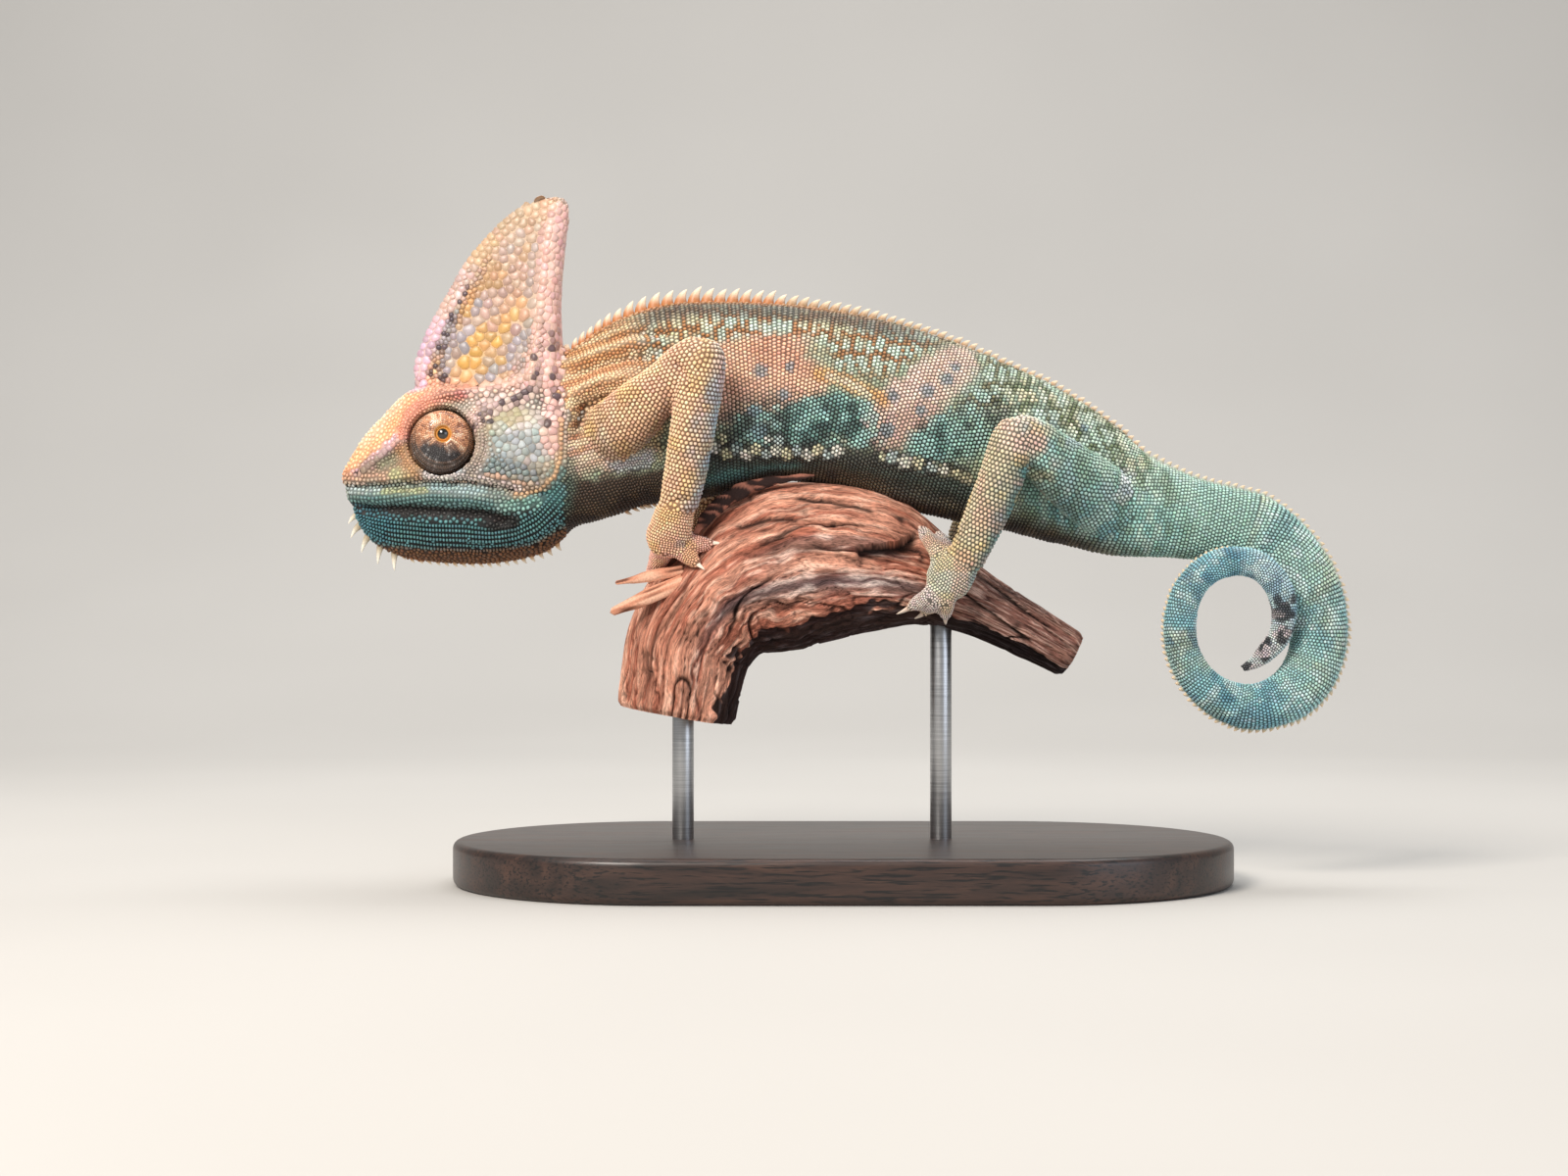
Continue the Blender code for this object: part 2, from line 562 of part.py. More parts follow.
def toe_path(wood, palm, target):
    """Knuckle and end of a toe that lies on the wood, then middle and tip of its claw."""
    end, normal = on_wood(wood, target, TOE_RADII[2] + 0.4)
    knuckle, _ = on_wood(wood, palm.lerp(end, 0.5), TOE_RADII[1] + 1.6)
    way = end - knuckle
    way = (way - normal * way.dot(normal)).normalized()
    tip, _ = on_wood(wood, end + way * CLAW_LENGTH, CLAW_RADII[2] + 0.35)
    root = end + (end - knuckle).normalized() * GAP
    middle = root.lerp(tip, 0.5)
    return knuckle, end, root, middle + on_wood(wood, middle, 0)[1] * 0.6, tip


def make_leg(pair, leg, mirror, word, wood, cutters, parts, helpers):
    """One leg: upper and lower limb, a foot with two bundles of toes, and five claws."""
    shift = RIGHT_STEP[pair] if mirror < 0 else 0.0
    body_cutter, wood_cutter = cutters
    upper = loft(f"{pair}leg_upper_{word}", limb_rings(leg["upper"], mirror, shift), "scaly_skin", parts)
    lower = loft(f"{pair}leg_lower_{word}", limb_rings(leg["lower"], mirror, shift), "scaly_skin", parts)
    foot = loft(f"{pair}foot_{word}", limb_rings(leg["palm"], mirror, shift), "scaly_skin", parts)

    x, y, z = leg["palm"][2][:3]
    palm = Vector((x + shift, y * mirror, z))
    toes, claw_cutters = [], []
    for number, (x, y, z) in enumerate(leg["toes"], 1):
        knuckle, end, root, middle, tip = toe_path(wood, palm, Vector((x + shift, y * mirror, z)))
        toes.append(tapered_tube("toe", [palm, knuckle, end], TOE_RADII, "scaly_skin", helpers))
        name = f"claw_{pair}_{word}_{number}"
        claw = tapered_tube(name, [root, middle, tip], CLAW_RADII, "claw", parts)
        claw_cutters.append(swollen_copy("cutter_" + name, claw, GAP, helpers))
    join(foot, toes)

    lower_cutter = swollen_copy(f"cutter_{pair}leg_{word}", lower, GAP, helpers)
    for piece, its_cutters in (
        (upper, (lower_cutter, body_cutter)),
        (lower, (body_cutter,)),
        (foot, (wood_cutter, lower_cutter, body_cutter, *claw_cutters)),
    ):
        for cutter in its_cutters:
            boolean(piece, cutter, "DIFFERENCE")


def bough_rings():
    at = np.linspace(0, len(BOUGH) - 1, 15)
    here = smooth_rows(BOUGH, at)
    tangent = unit_rows(np.gradient(here[:, :3], axis=0))
    rings = []
    for place, (x, y, z, thick, deep), t in zip(at, here, tangent):
        ring = []
        for angle in np.linspace(0, 2 * math.pi, BOUGH_SIDES, endpoint=False):
            lump = 1 + sum(depth * math.sin(lobes * angle + phase + twist * place) * abs(math.sin(angle))
                           for lobes, depth, phase, twist in BOUGH_LUMPS)
            rise, side = math.cos(angle) * thick, math.sin(angle) * deep * lump
            ring.append((x - t[2] * rise, y + side, z + t[0] * rise))
        rings.append(ring)
    return rings


def make_perch(parts, helpers):
    """The length of driftwood with its splinters, and the bare bough's surface for the toes to lie on."""
    perch = loft("perch", bough_rings(), "driftwood", parts)
    bm = bmesh.new()
    bm.from_mesh(perch.data)
    wood = BVHTree.FromBMesh(bm)
    bm.free()
    slivers = []
    for root, tip, thick, thin in SPLINTERS:
        path = [Vector(root), Vector(root).lerp(Vector(tip), 0.5), Vector(tip)]
        slivers.append(tapered_tube("sliver", path, (thick, thick, thin), "driftwood", helpers))
    return join(perch, slivers), wood


def make_base(parts):
    """A flat plate with round ends, lying on the ground plane."""
    curve = bpy.data.curves.new("stand_base", "CURVE")
    curve.dimensions = "2D"
    curve.fill_mode = "BOTH"
    curve.extrude = BASE["thickness"] / 2 * MM
    end = BASE["width"] / 2
    straight = BASE["length"] / 2 - end
    outline = [(side * straight + end * math.cos(a), end * math.sin(a))
               for side, start in ((1, -90), (-1, 90)) for a in np.radians(np.linspace(start, start + 180, 13))]
    spline = curve.splines.new("POLY")
    spline.points.add(len(outline) - 1)
    for knot, (x, y) in zip(spline.points, outline):
        knot.co = (x * MM, y * MM, 0.0, 1.0)
    spline.use_cyclic_u = True
    plate = solid_curve("stand_base", curve, "stained_wood", parts)
    plate.data.transform(Matrix.Translation((0, 0, BASE["thickness"] / 2 * MM)))
    bevel = plate.modifiers.new("round the edges", "BEVEL")
    bevel.width = BASE["edge"] * MM
    bevel.segments = 2
    bevel.limit_method = "ANGLE"
    bevel.angle_limit = math.radians(60)
    return apply_modifiers(plate)


def make_stand(perch, parts, helpers):
    plate = make_base(parts)
    foot = BASE["thickness"] - ROD_DEPTH
    clear = ROD_RADIUS + ROD_CLEARANCE
    for name, (x, y, top) in RODS.items():
        for target, low, high in ((plate, foot, 2 * BASE["thickness"]), (perch, 2 * BASE["thickness"], top + GAP)):
            hole = upright_cylinder("hole", clear, low, high, (x, y), "steel", helpers)
            boolean(target, hole, "DIFFERENCE")
            bpy.data.objects.remove(hole)
        upright_cylinder(name, ROD_RADIUS, foot + GAP, top, (x, y), "steel", parts)


def main():
    clear_scene()
    parts, helpers = new_collection("veiled_chameleon"), new_collection("cutters")
    body_cutter = make_body(parts, helpers)
    make_head(parts, helpers)
    perch, wood = make_perch(parts, helpers)
    wood_cutter = swollen_copy("wood_cutter", perch, GAP, helpers)
    for pair, leg in (("fore", FORELEG), ("hind", HINDLEG)):
        for mirror, word in ((1, "left"), (-1, "right")):
            make_leg(pair, leg, mirror, word, wood, (body_cutter, wood_cutter), parts, helpers)
    make_stand(perch, parts, helpers)


main()
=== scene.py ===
import json
import math

import bpy
import numpy as np
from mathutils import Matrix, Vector
from mathutils.bvhtree import BVHTree
from mathutils.kdtree import KDTree

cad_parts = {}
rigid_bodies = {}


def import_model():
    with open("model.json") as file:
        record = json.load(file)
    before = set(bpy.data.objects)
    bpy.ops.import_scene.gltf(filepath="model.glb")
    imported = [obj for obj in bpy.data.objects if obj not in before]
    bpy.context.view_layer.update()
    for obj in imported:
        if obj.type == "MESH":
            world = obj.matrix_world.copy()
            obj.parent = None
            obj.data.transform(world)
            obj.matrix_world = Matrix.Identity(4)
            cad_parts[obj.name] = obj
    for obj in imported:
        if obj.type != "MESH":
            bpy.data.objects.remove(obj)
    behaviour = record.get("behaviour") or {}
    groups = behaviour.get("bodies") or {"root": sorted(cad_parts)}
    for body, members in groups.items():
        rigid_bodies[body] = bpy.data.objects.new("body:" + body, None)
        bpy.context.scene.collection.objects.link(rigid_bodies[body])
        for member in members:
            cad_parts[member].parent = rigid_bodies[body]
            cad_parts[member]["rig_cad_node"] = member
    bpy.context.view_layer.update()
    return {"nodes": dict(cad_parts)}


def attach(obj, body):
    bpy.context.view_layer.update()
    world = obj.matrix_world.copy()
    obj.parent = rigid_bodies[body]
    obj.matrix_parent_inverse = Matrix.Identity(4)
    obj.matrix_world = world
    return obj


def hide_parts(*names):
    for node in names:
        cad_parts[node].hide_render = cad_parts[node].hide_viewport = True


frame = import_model()
mm = 0.001


# numbers, colours and noise

def linear(hexText):
    # sRGB hex to linear light
    parts = np.array([int(hexText[i:i + 2], 16) for i in (0, 2, 4)]) / 255
    return np.where(parts <= 0.04045, parts / 12.92, ((parts + 0.055) / 1.055) ** 2.4)


def rgba(hexText):
    return (*linear(hexText), 1.0)


def unit(vectors):
    return vectors / np.maximum(np.linalg.norm(vectors, axis=-1, keepdims=True), 1e-9)


def ease(low, high, value):
    t = np.clip((value - low) / (high - low), 0, 1)
    return t * t * (3 - 2 * t)


def blendTo(old, new, share):
    # share is one number for each row
    share = np.asarray(share, float)
    return old + (new - old) * (share[:, None] if np.ndim(old) > 1 else share)


def cellValue(cells, seed):
    # one even random number from 0 to 1 for each whole-numbered cell
    c = cells.astype(np.int64)
    h = (c[..., 0] * 73856093) ^ (c[..., 1] * 19349663) ^ (c[..., 2] * 83492791) ^ (seed * 40503 + 977)
    h &= 0xFFFFFFFF
    h = ((h ^ (h >> 15)) * 2246822519) & 0xFFFFFFFF
    h = ((h ^ (h >> 13)) * 3266489917) & 0xFFFFFFFF
    return ((h ^ (h >> 16)) & 0xFFFFFFFF) / 4294967296.0


def noise(points, size, seed=0):
    # smooth value noise from -1 to 1; size is the cell in mm, or one for each axis
    p = np.asarray(points, float) / np.asarray(size, float) + 1000.0
    base = np.floor(p)
    f = p - base
    f = f * f * (3 - 2 * f)
    total = 0
    for corner in range(8):
        step = np.array([corner & 1, corner >> 1 & 1, corner >> 2 & 1])
        weight = np.prod(np.where(step == 1, f, 1 - f), axis=-1)
        total = total + weight * cellValue(base + step, seed)
    return total * 2 - 1


def fractal(points, size, seed=0, octaves=3):
    total, share = 0, 1.0
    for k in range(octaves):
        total = total + share * noise(points, np.asarray(size, float) / 2 ** k, seed + k)
        share /= 2
    return total / (2 - 2 ** (1 - octaves))


def curve(four, t):
    # a smooth curve between the middle two of four places
    p0, p1, p2, p3 = four
    square, cube = 2 * p0 - 5 * p1 + 4 * p2 - p3, 3 * p1 - p0 - 3 * p2 + p3
    return 0.5 * (2 * p1 + (p2 - p0) * t + square * t**2 + cube * t**3)


def smoothRows(rows, at):
    # a smooth curve through the rows of a table, read at positions along it
    table = np.asarray(rows, float)
    last = len(table) - 1
    at = np.clip(np.asarray(at, float), 0, last)
    i = np.minimum(at.astype(int), last - 1)
    return curve([table[np.clip(i + k, 0, last)] for k in (-1, 0, 1, 2)], (at - i)[:, None])


def directions(rows, at, step=0.05):
    # which way a table's middle line runs
    at = np.asarray(at)
    return unit((smoothRows(rows, at + step) - smoothRows(rows, at - step))[:, :3])


def loopsAt(tables, angle):
    # each table has closed loops as its rows; they are read at one angle for each row
    count = tables[0].shape[1]
    spot = np.asarray(angle) / (2 * math.pi) * count
    i = np.floor(spot).astype(int)
    row = np.arange(len(spot))
    return [curve([table[row, (i + k) % count] for k in (-1, 0, 1, 2)], spot - i) for table in tables]


def turnsOf(count):
    # even angles once round
    return np.linspace(0, 2 * math.pi, count, endpoint=False)


def runOf(points):
    # distance along a line of points, from its start
    return np.concatenate([[0], np.cumsum(np.linalg.norm(np.diff(points, axis=0), axis=1))])


def pathAt(path, x):
    # the height of a path of the side view above each x
    return np.interp(x, [p[0] for p in path], [p[1] for p in path])


def pathDistance(x, z, path):
    # distance to a path drawn in the side view, and how far along it the nearest place is, 0 to 1
    best, along = np.full(len(x), 1e9), np.zeros(len(x))
    count = max(1, len(path) - 1)
    for k in range(count):
        ax, az = path[k]
        bx, bz = path[min(k + 1, len(path) - 1)]
        dx, dz = bx - ax, bz - az
        t = np.clip(((x - ax) * dx + (z - az) * dz) / max(dx * dx + dz * dz, 1e-9), 0, 1)
        d = np.hypot(x - ax - t * dx, z - az - t * dz)
        along = np.where(d < best, (k + t) / count, along)
        best = np.minimum(best, d)
    return best, along


# the body's own sizes, as the solids have them

trunkRows = [  # x, y, z of the middle, half-height, half-width, how pear-shaped
    (-84, 0, 114.6, 19.6, 8.8, 0.10), (-72.8, 0, 120.4, 22.4, 9.6, 0.12), (-64, 0, 125.4, 24.2, 11, 0.16),
    (-53.7, 0, 129.6, 26.7, 13.2, 0.20), (-43.2, 0, 132.4, 27.4, 14.9, 0.22),
    (-29.7, 0, 134, 26.2, 15.9, 0.22), (-16.2, 0, 134.6, 24.6, 16.3, 0.20),
    (-2.7, 0, 132.7, 24.5, 16.3, 0.18), (10.8, 0, 129.8, 24.3, 15.9, 0.16),
    (24.2, 0, 125.6, 24.2, 15.1, 0.16), (37.5, 0, 121.4, 23.1, 14, 0.14), (51, 0, 116.8, 21.2, 12.7, 0.10),
    (64.3, 0, 110.8, 19, 11.4, 0.06), (77.5, 0, 104.6, 15.4, 10.2, 0.02), (91.7, 0, 100.9, 12, 9, 0),
    (102.6, 0, 98.9, 10.9, 8.2, 0),
]
coilX, coilZ = 108, 71
coilRows = [  # angle, distance from the coil's middle, y, half-height; its outer edge leaves the spines room
    (82.5, 25.9, 0, 10.9), (41.5, 22.4, -0.6, 9.5), (-4.4, 22.7, -1.8, 8.1), (-44.7, 24, -3.4, 7.5),
    (-82.9, 22.6, -5.1, 6.5), (-128.2, 18.6, -7.1, 5.2), (-181.4, 16.5, -9.1, 4.6),
    (-235.2, 17.5, -10.6, 4.4), (-284, 16.8, -10.9, 4.2), (-336.4, 12.8, -9.6, 3.8), (-401.6, 10.7, -7, 3),
    (-445.8, 12.2, -5.2, 1.2),
]
skullRows = [  # x, mouth z, top z, half-width at lip, cheek, brow
    (-138, 109.6, 112.4, 1.6, 1.8, 1.2), (-136.4, 109.1, 115.2, 3.9, 3.9, 2.4),
    (-132.4, 108.8, 121.6, 6.4, 6.2, 4), (-127, 108.5, 127.6, 8.8, 8, 5.4),
    (-121.6, 108.5, 133, 10.3, 9.3, 6.8), (-117.2, 108.8, 135.7, 11.2, 10.3, 8),
    (-110.4, 109.4, 136, 12.2, 11.4, 9.2), (-102.6, 109.6, 136, 13, 12.8, 9.2),
    (-94.5, 108.6, 136, 13.3, 13.8, 8.8), (-86.4, 107.2, 136, 12.6, 13.4, 8.2),
    (-80.6, 106.8, 136, 11.6, 12.2, 7.6), (-75.5, 106.8, 136, 10.8, 11.4, 7.2),
]
skullSection = [("lip", 0, 0), ("lip", 0.72, 0), ("lip", 1, 0.1), ("cheek", 0.97, 0.34), ("cheek", 1, 0.58),
                ("brow", 1.12, 0.82), ("brow", 1, 0.95), ("brow", 0.6, 1), ("brow", 0, 1)]
jawRows = [  # x, mouth z, keel z, half-width at lip, pouch
    (-137, 108.9, 106.6, 2, 1.4), (-135.2, 108.6, 102, 4.4, 3.2), (-131.8, 108.3, 95.6, 6.2, 4.8),
    (-127, 108.1, 91.4, 8.2, 6.6), (-118.8, 108.1, 88.4, 10.3, 8.6), (-108, 109, 87.4, 11.7, 10),
    (-97.2, 108.6, 87.4, 12.4, 10.8), (-86.4, 106.8, 89, 12, 10.6), (-80.6, 106.4, 91.2, 11.2, 10),
    (-75.5, 106.4, 94.6, 10.4, 9.2),
]
jawSection = [("lip", 0, 0), ("lip", 0.74, 0), ("lip", 1, 0.08), ("lip", 0.97, 0.24), ("pouch", 0.98, 0.44),
              ("pouch", 0.86, 0.66), ("pouch", 0.5, 0.86), ("pouch", 0.12, 0.97), ("pouch", 0, 1)]
casqueRows = [  # z, x of front crest, side crest, rear edge, half-width
    (128, -116, -87, -76.5, 8.6), (136.3, -117.8, -85, -75.7, 9), (141, -118.2, -83.9, -75.9, 8),
    (147.6, -116.2, -83.2, -76.8, 7), (156, -112.2, -82.4, -77.4, 6), (163.4, -108, -81.8, -77.2, 5.1),
    (172.2, -102.6, -81.2, -76.5, 4.2), (178.4, -97.2, -80.2, -75.7, 3.5),
    (183.6, -91.8, -79.4, -75.1, 2.8), (187.2, -86.4, -78.8, -75.6, 2.1), (188.8, -82.4, -79.4, -77.4, 1.2),
]
casqueSection = [("blade", 0, 0), ("blade", 0.05, 0.2), ("blade", 0.3, 0.34), ("blade", 0.66, 0.58),
                 ("blade", 1, 1), ("back", 0.5, 0.9), ("back", 0.9, 0.5), ("back", 1, 0)]
foreleg = {
    "upper": [(-66, -7, 121.5, 8, 5), (-60, -13, 125.5, 8.6, 6), (-49.5, -20.5, 134, 6.8, 5.4),
              (-41, -25.2, 142, 5.9, 5), (-37.6, -26.3, 144.2, 4.6, 4.4)],
    "lower": [(-37.2, -26.4, 145.4, 4.4, 4.2), (-37.4, -26.6, 141, 6.2, 5.2), (-39.4, -25.2, 130, 6.3, 5.4),
              (-41.6, -22.6, 117, 6.1, 5.2), (-44.4, -19.2, 103.4, 5.4, 4.8)],
    "palm": [(-45.2, -18.8, 102.4, 5.3, 4.8), (-46.4, -17.8, 98.4, 5.8, 5), (-47.6, -16.6, 94.6, 6.2, 4.8),
             (-48.2, -15.8, 91.2, 4.8, 3.6)],
    "toes": [(-41.6, -19.8, 89.8), (-37.4, -16.6, 93.4), (-56.8, -11.4, 88.4), (-57.6, -6.8, 89.2),
             (-56.4, -2.4, 91)],
}
hindleg = {
    "upper": [(78, -4, 100, 8.5, 4.5), (68, -10.5, 106.5, 9.6, 6.6), (58, -17, 113.6, 8.6, 6.4),
              (49.5, -22.2, 120.4, 6.8, 5.6), (45.6, -24.2, 123.4, 5, 4.6)],
    "lower": [(45.6, -24.4, 124.2, 4.6, 4.4), (44.6, -24.8, 120, 6.1, 5.2), (41.4, -23.6, 109.6, 6.2, 5.4),
              (37, -21.6, 98.6, 5.8, 5.1), (32.4, -19.6, 88.6, 5.2, 4.7)],
    "palm": [(31.8, -19.4, 87.8, 5.2, 4.7), (29.5, -18.6, 85.2, 6.3, 4.8), (27.1, -17.4, 82.4, 6.2, 4.6),
             (25.4, -16.4, 80.4, 4.4, 3.6)],
    "toes": [(18.6, -16.6, 75.8), (22.6, -16.8, 73.4), (27, -16.4, 72.8), (20.2, -10.2, 94),
             (25.6, -8.6, 94)],
}
toeRadii = (2.4, 1.55)  # at the knuckle, at the end
boughRows = [  # x, y, z of the middle, half-thickness seen from the side, half-depth
    (-45.6, 0.5, 46, 17.2, 16.5), (-44, 0, 55, 17.6, 18), (-41, 0, 67, 18.6, 19.6),
    (-32.4, 0, 78, 20, 20.6), (-17.6, 0, 84.4, 22.4, 20.8), (-2.7, 0, 86, 20.6, 19.6),
    (10.8, 0, 85.2, 17.6, 17.6), (24.3, 0, 81.8, 13, 15.2), (37.8, 0, 75.6, 9.6, 13),
    (51.3, 0.5, 68.6, 8.4, 11.4), (63, 1, 62, 7.6, 10.4),
]
boughLumps = [(2, 0.05, 0.7, 1.3), (3, 0.045, 2.1, -0.8), (5, 0.025, 0.4, 2.2)]  # lobes, depth, phase, twist


def backboneTable():
    rows = list(trunkRows)
    for angle, distance, y, height in smoothRows(coilRows, np.arange(0, len(coilRows) - 0.5, 0.5)):
        x = coilX + distance * math.cos(math.radians(angle))
        z = coilZ + distance * math.sin(math.radians(angle))
        rows.append((x, y, z, height, height * (1 - 0.28 * height / coilRows[0][3]), 0.0))
    return np.array(rows)


backbone = backboneTable()
trunkEnd, tailEnd = 16, 38  # rows of the backbone where the tail starts and where it ends


def backboneAt(at):
    at = np.asarray(at, float)
    tangent = directions(backbone, at)
    up = unit(np.stack([-tangent[:, 2], np.zeros(len(at)), tangent[:, 0]], axis=1))
    return smoothRows(backbone, at), tangent, up


def bodyPoint(at, angle):
    here, _, up = backboneAt(at)
    rise = np.cos(angle)
    side = np.copysign(np.abs(np.sin(angle)) ** 0.88, np.sin(angle)) * here[:, 4] * (1 - here[:, 5] * rise)
    points = here[:, :3] + up * (rise * here[:, 3])[:, None]
    points[:, 1] += side
    return points


def sectionPoint(rows, widths, section):
    # a surface across the head, read at a row position and an angle; each section point names its width
    half = section + [(name, -share, rise) for name, share, rise in section[-2:0:-1]]
    share = np.array([s for _, s, _ in half])
    rise = np.array([r for _, _, r in half])

    def point(at, angle):
        here = smoothRows(rows, at)
        columns = np.stack([here[:, 3 + widths.index(name)] for name, _, _ in half], axis=1) * share
        heights = here[:, 1:2] + (here[:, 2:3] - here[:, 1:2]) * rise
        return np.stack([here[:, 0], *loopsAt((columns, heights), angle)], axis=1)

    return point


def casquePoint(at, angle):
    half = casqueSection + [(name, share, -wide) for name, share, wide in casqueSection[-2:0:-1]]
    z, front, ridge, rear, width = smoothRows(casqueRows, at).T
    ends = {"blade": (front, ridge), "back": (ridge, rear)}
    along = np.stack([ends[name][0] + (ends[name][1] - ends[name][0]) * share
                      for name, share, _ in half], axis=1)
    across = np.stack([width * wide for _, _, wide in half], axis=1)
    return np.stack([*loopsAt((along, across), angle), z], axis=1)


def limbPoint(rows, mirror, shift):
    table = np.array(rows, float)
    table[:, 0] += shift
    table[:, 1] *= mirror

    def point(at, angle):
        here = smoothRows(table, at)
        tangent = directions(table, at, 0.08)
        across = unit(np.cross(tangent, (0, 1, 0)))
        outward = np.cross(across, tangent)
        return (here[:, :3] + across * (here[:, 3] * np.cos(angle))[:, None]
                + outward * (here[:, 4] * np.sin(angle))[:, None])

    return point


def boughPoint(at, angle):
    here = smoothRows(boughRows, at)
    tangent = directions(boughRows, at)
    lump = 1 + sum(depth * np.sin(lobes * angle + phase + twist * np.asarray(at)) * np.abs(np.sin(angle))
                   for lobes, depth, phase, twist in boughLumps)
    x, y, z, thick, deep = here.T
    rise, side = np.cos(angle) * thick, np.sin(angle) * deep * lump
    return np.stack([x - tangent[:, 2] * rise, y + side, z + tangent[:, 0] * rise], axis=1)


# meshes

def deselectAll():
    bpy.ops.object.select_all(action="DESELECT")


def activate(obj):
    deselectAll()
    obj.select_set(True)
    bpy.context.view_layer.objects.active = obj
    return obj


def objectFrom(name, data):
    obj = bpy.data.objects.new(name, data)
    bpy.context.scene.collection.objects.link(obj)
    return obj


def facedOut(obj):
    # turns every face of a closed mesh outwards
    activate(obj)
    bpy.ops.object.mode_set(mode="EDIT")
    bpy.ops.mesh.select_all(action="SELECT")
    bpy.ops.mesh.normals_make_consistent(inside=False)
    bpy.ops.object.mode_set(mode="OBJECT")
    return obj


def meshOf(name, points, faces):
    # points in mm, faces as one array of equal rows
    mesh = bpy.data.meshes.new(name)
    faces = np.asarray(faces, np.int32)
    mesh.vertices.add(len(points))
    mesh.vertices.foreach_set("co", (np.asarray(points) * mm).astype(np.float32).ravel())
    mesh.loops.add(faces.size)
    mesh.loops.foreach_set("vertex_index", faces.ravel())
    mesh.polygons.add(len(faces))
    mesh.polygons.foreach_set("loop_start", np.arange(0, faces.size, faces.shape[1], dtype=np.int32))
    mesh.polygons.foreach_set("loop_total", np.full(len(faces), faces.shape[1], np.int32))
    mesh.update(calc_edges=True)
    mesh.shade_smooth()
    return mesh


def setColour(mesh, colours):
    layer = mesh.color_attributes.new("Colour", "FLOAT_COLOR", "POINT")
    full = np.ones((len(colours), 4), np.float32)
    full[:, :3] = colours
    layer.data.foreach_set("color", full.ravel())


def setUv(mesh, uv):
    # the patch that a scale bakes to; uv has one row for each vertex
    layer = mesh.uv_layers.new(name="OFBake")
    corner = np.empty(len(mesh.loops), np.int32)
    mesh.loops.foreach_get("vertex_index", corner)
    layer.data.foreach_set("uv", np.asarray(uv, np.float32)[corner].ravel())


def gridFaces(rows, columns, closed=True):
    # quads between rings of points, as rows of four
    i, k = np.meshgrid(np.arange(rows - 1), np.arange(columns if closed else columns - 1), indexing="ij")
    i, k = i.ravel(), k.ravel()
    n = (k + 1) % columns
    return np.stack([i * columns + k, i * columns + n, (i + 1) * columns + n, (i + 1) * columns + k], axis=1)


def halved(quads):
    # each quad as two triangles
    return np.concatenate([quads[:, [0, 1, 2]], quads[:, [0, 2, 3]]])


def closedLoft(name, point, last, rings, sides, roundEnds=0):
    # a closed tube over a surface; roundEnds adds domes of that height in mm
    at, angle = np.repeat(np.linspace(0, last, rings), sides), np.tile(turnsOf(sides), rings)
    grid = point(at, angle).reshape(rings, sides, 3)
    rows = list(grid)
    for first in (True, False) if roundEnds else ():
        end, inner = (grid[0], grid[1]) if first else (grid[-1], grid[-2])
        middle = end.mean(axis=0)
        way = unit(middle - inner.mean(axis=0))
        for a in (math.radians(30), math.radians(60), math.radians(82)):
            ring = middle + (end - middle) * math.cos(a) + way * roundEnds * math.sin(a)
            rows = [ring] + rows if first else rows + [ring]
    faces = [tuple(face) for face in gridFaces(len(rows), sides)]
    faces += [tuple(range(sides))[::-1], tuple(range((len(rows) - 1) * sides, len(rows) * sides))]
    mesh = bpy.data.meshes.new(name)
    mesh.from_pydata([tuple(p) for p in np.concatenate(rows) * mm], [], faces)
    return facedOut(objectFrom(name, mesh))


def verticesOf(mesh, what="co"):
    found = np.empty(len(mesh.vertices) * 3, np.float32)
    mesh.vertices.foreach_get(what, found)
    return found.reshape(-1, 3).astype(float)


def moveVertices(mesh, points):
    mesh.vertices.foreach_set("co", (points * mm).astype(np.float32).ravel())
    mesh.update()


def treeOf(points):
    tree = KDTree(len(points))
    for i, p in enumerate(points):
        tree.insert(p, i)
    tree.balance()
    return tree


def nearestOf(tree, points):
    return np.array([tree.find(p)[1] for p in points])


def neighboursOf(points, count):
    # the nearest others of each point
    tree = treeOf(points)
    return np.array([[hit[1] for hit in tree.find_n(p, count + 1)[1:]] for p in points])


class Surface:
    # places on a mesh in mm, with smooth normals
    def __init__(self, mesh):
        mesh.calc_loop_triangles()
        self.points = verticesOf(mesh) / mm
        self.normals = verticesOf(mesh, "normal")
        triangles = np.empty(len(mesh.loop_triangles) * 3, np.int32)
        mesh.loop_triangles.foreach_get("vertices", triangles)
        self.triangles = triangles.reshape(-1, 3)
        self.tree = BVHTree.FromPolygons(self.points.tolist(), self.triangles.tolist())

    def nearest(self, points):
        places, index, far = [], [], []
        for p in points:
            place, _, number, distance = self.tree.find_nearest(p)
            places.append(place)
            index.append(number)
            far.append(distance)
        places = np.array(places)
        return places, self.normalsAt(places, np.array(index)), np.array(far)

    def normalsAt(self, places, index):
        corners = self.triangles[index]
        a, b, c = (self.points[corners[:, k]] for k in range(3))
        whole = np.cross(b - a, c - a)
        size = np.maximum((whole**2).sum(axis=1), 1e-12)
        wa = (np.cross(b - places, c - places) * whole).sum(axis=1) / size
        wb = (np.cross(c - places, a - places) * whole).sum(axis=1) / size
        weights = np.clip(np.stack([wa, wb, 1 - wa - wb], axis=1), 0, 1)
        return unit((self.normals[corners] * weights[:, :, None]).sum(axis=1))

    def scatter(self, share, seed):
        # evenly random places, share of them for each square millimetre
        a, b, c = (self.points[self.triangles[:, k]] for k in range(3))
        area = np.linalg.norm(np.cross(b - a, c - a), axis=1) / 2
        dice = np.random.default_rng(seed)
        count = int(area.sum() * share)
        index = dice.choice(len(area), count, p=area / area.sum())
        r, s = np.sqrt(dice.random(count))[:, None], dice.random(count)[:, None]
        places = a[index] * (1 - r) + b[index] * r * (1 - s) + c[index] * r * s
        return places, self.normalsAt(places, index)


print("shapes of the animal")

skinFit = {"voxel": 0.88, "coatDepth": 0.45, "smoothing": 4}
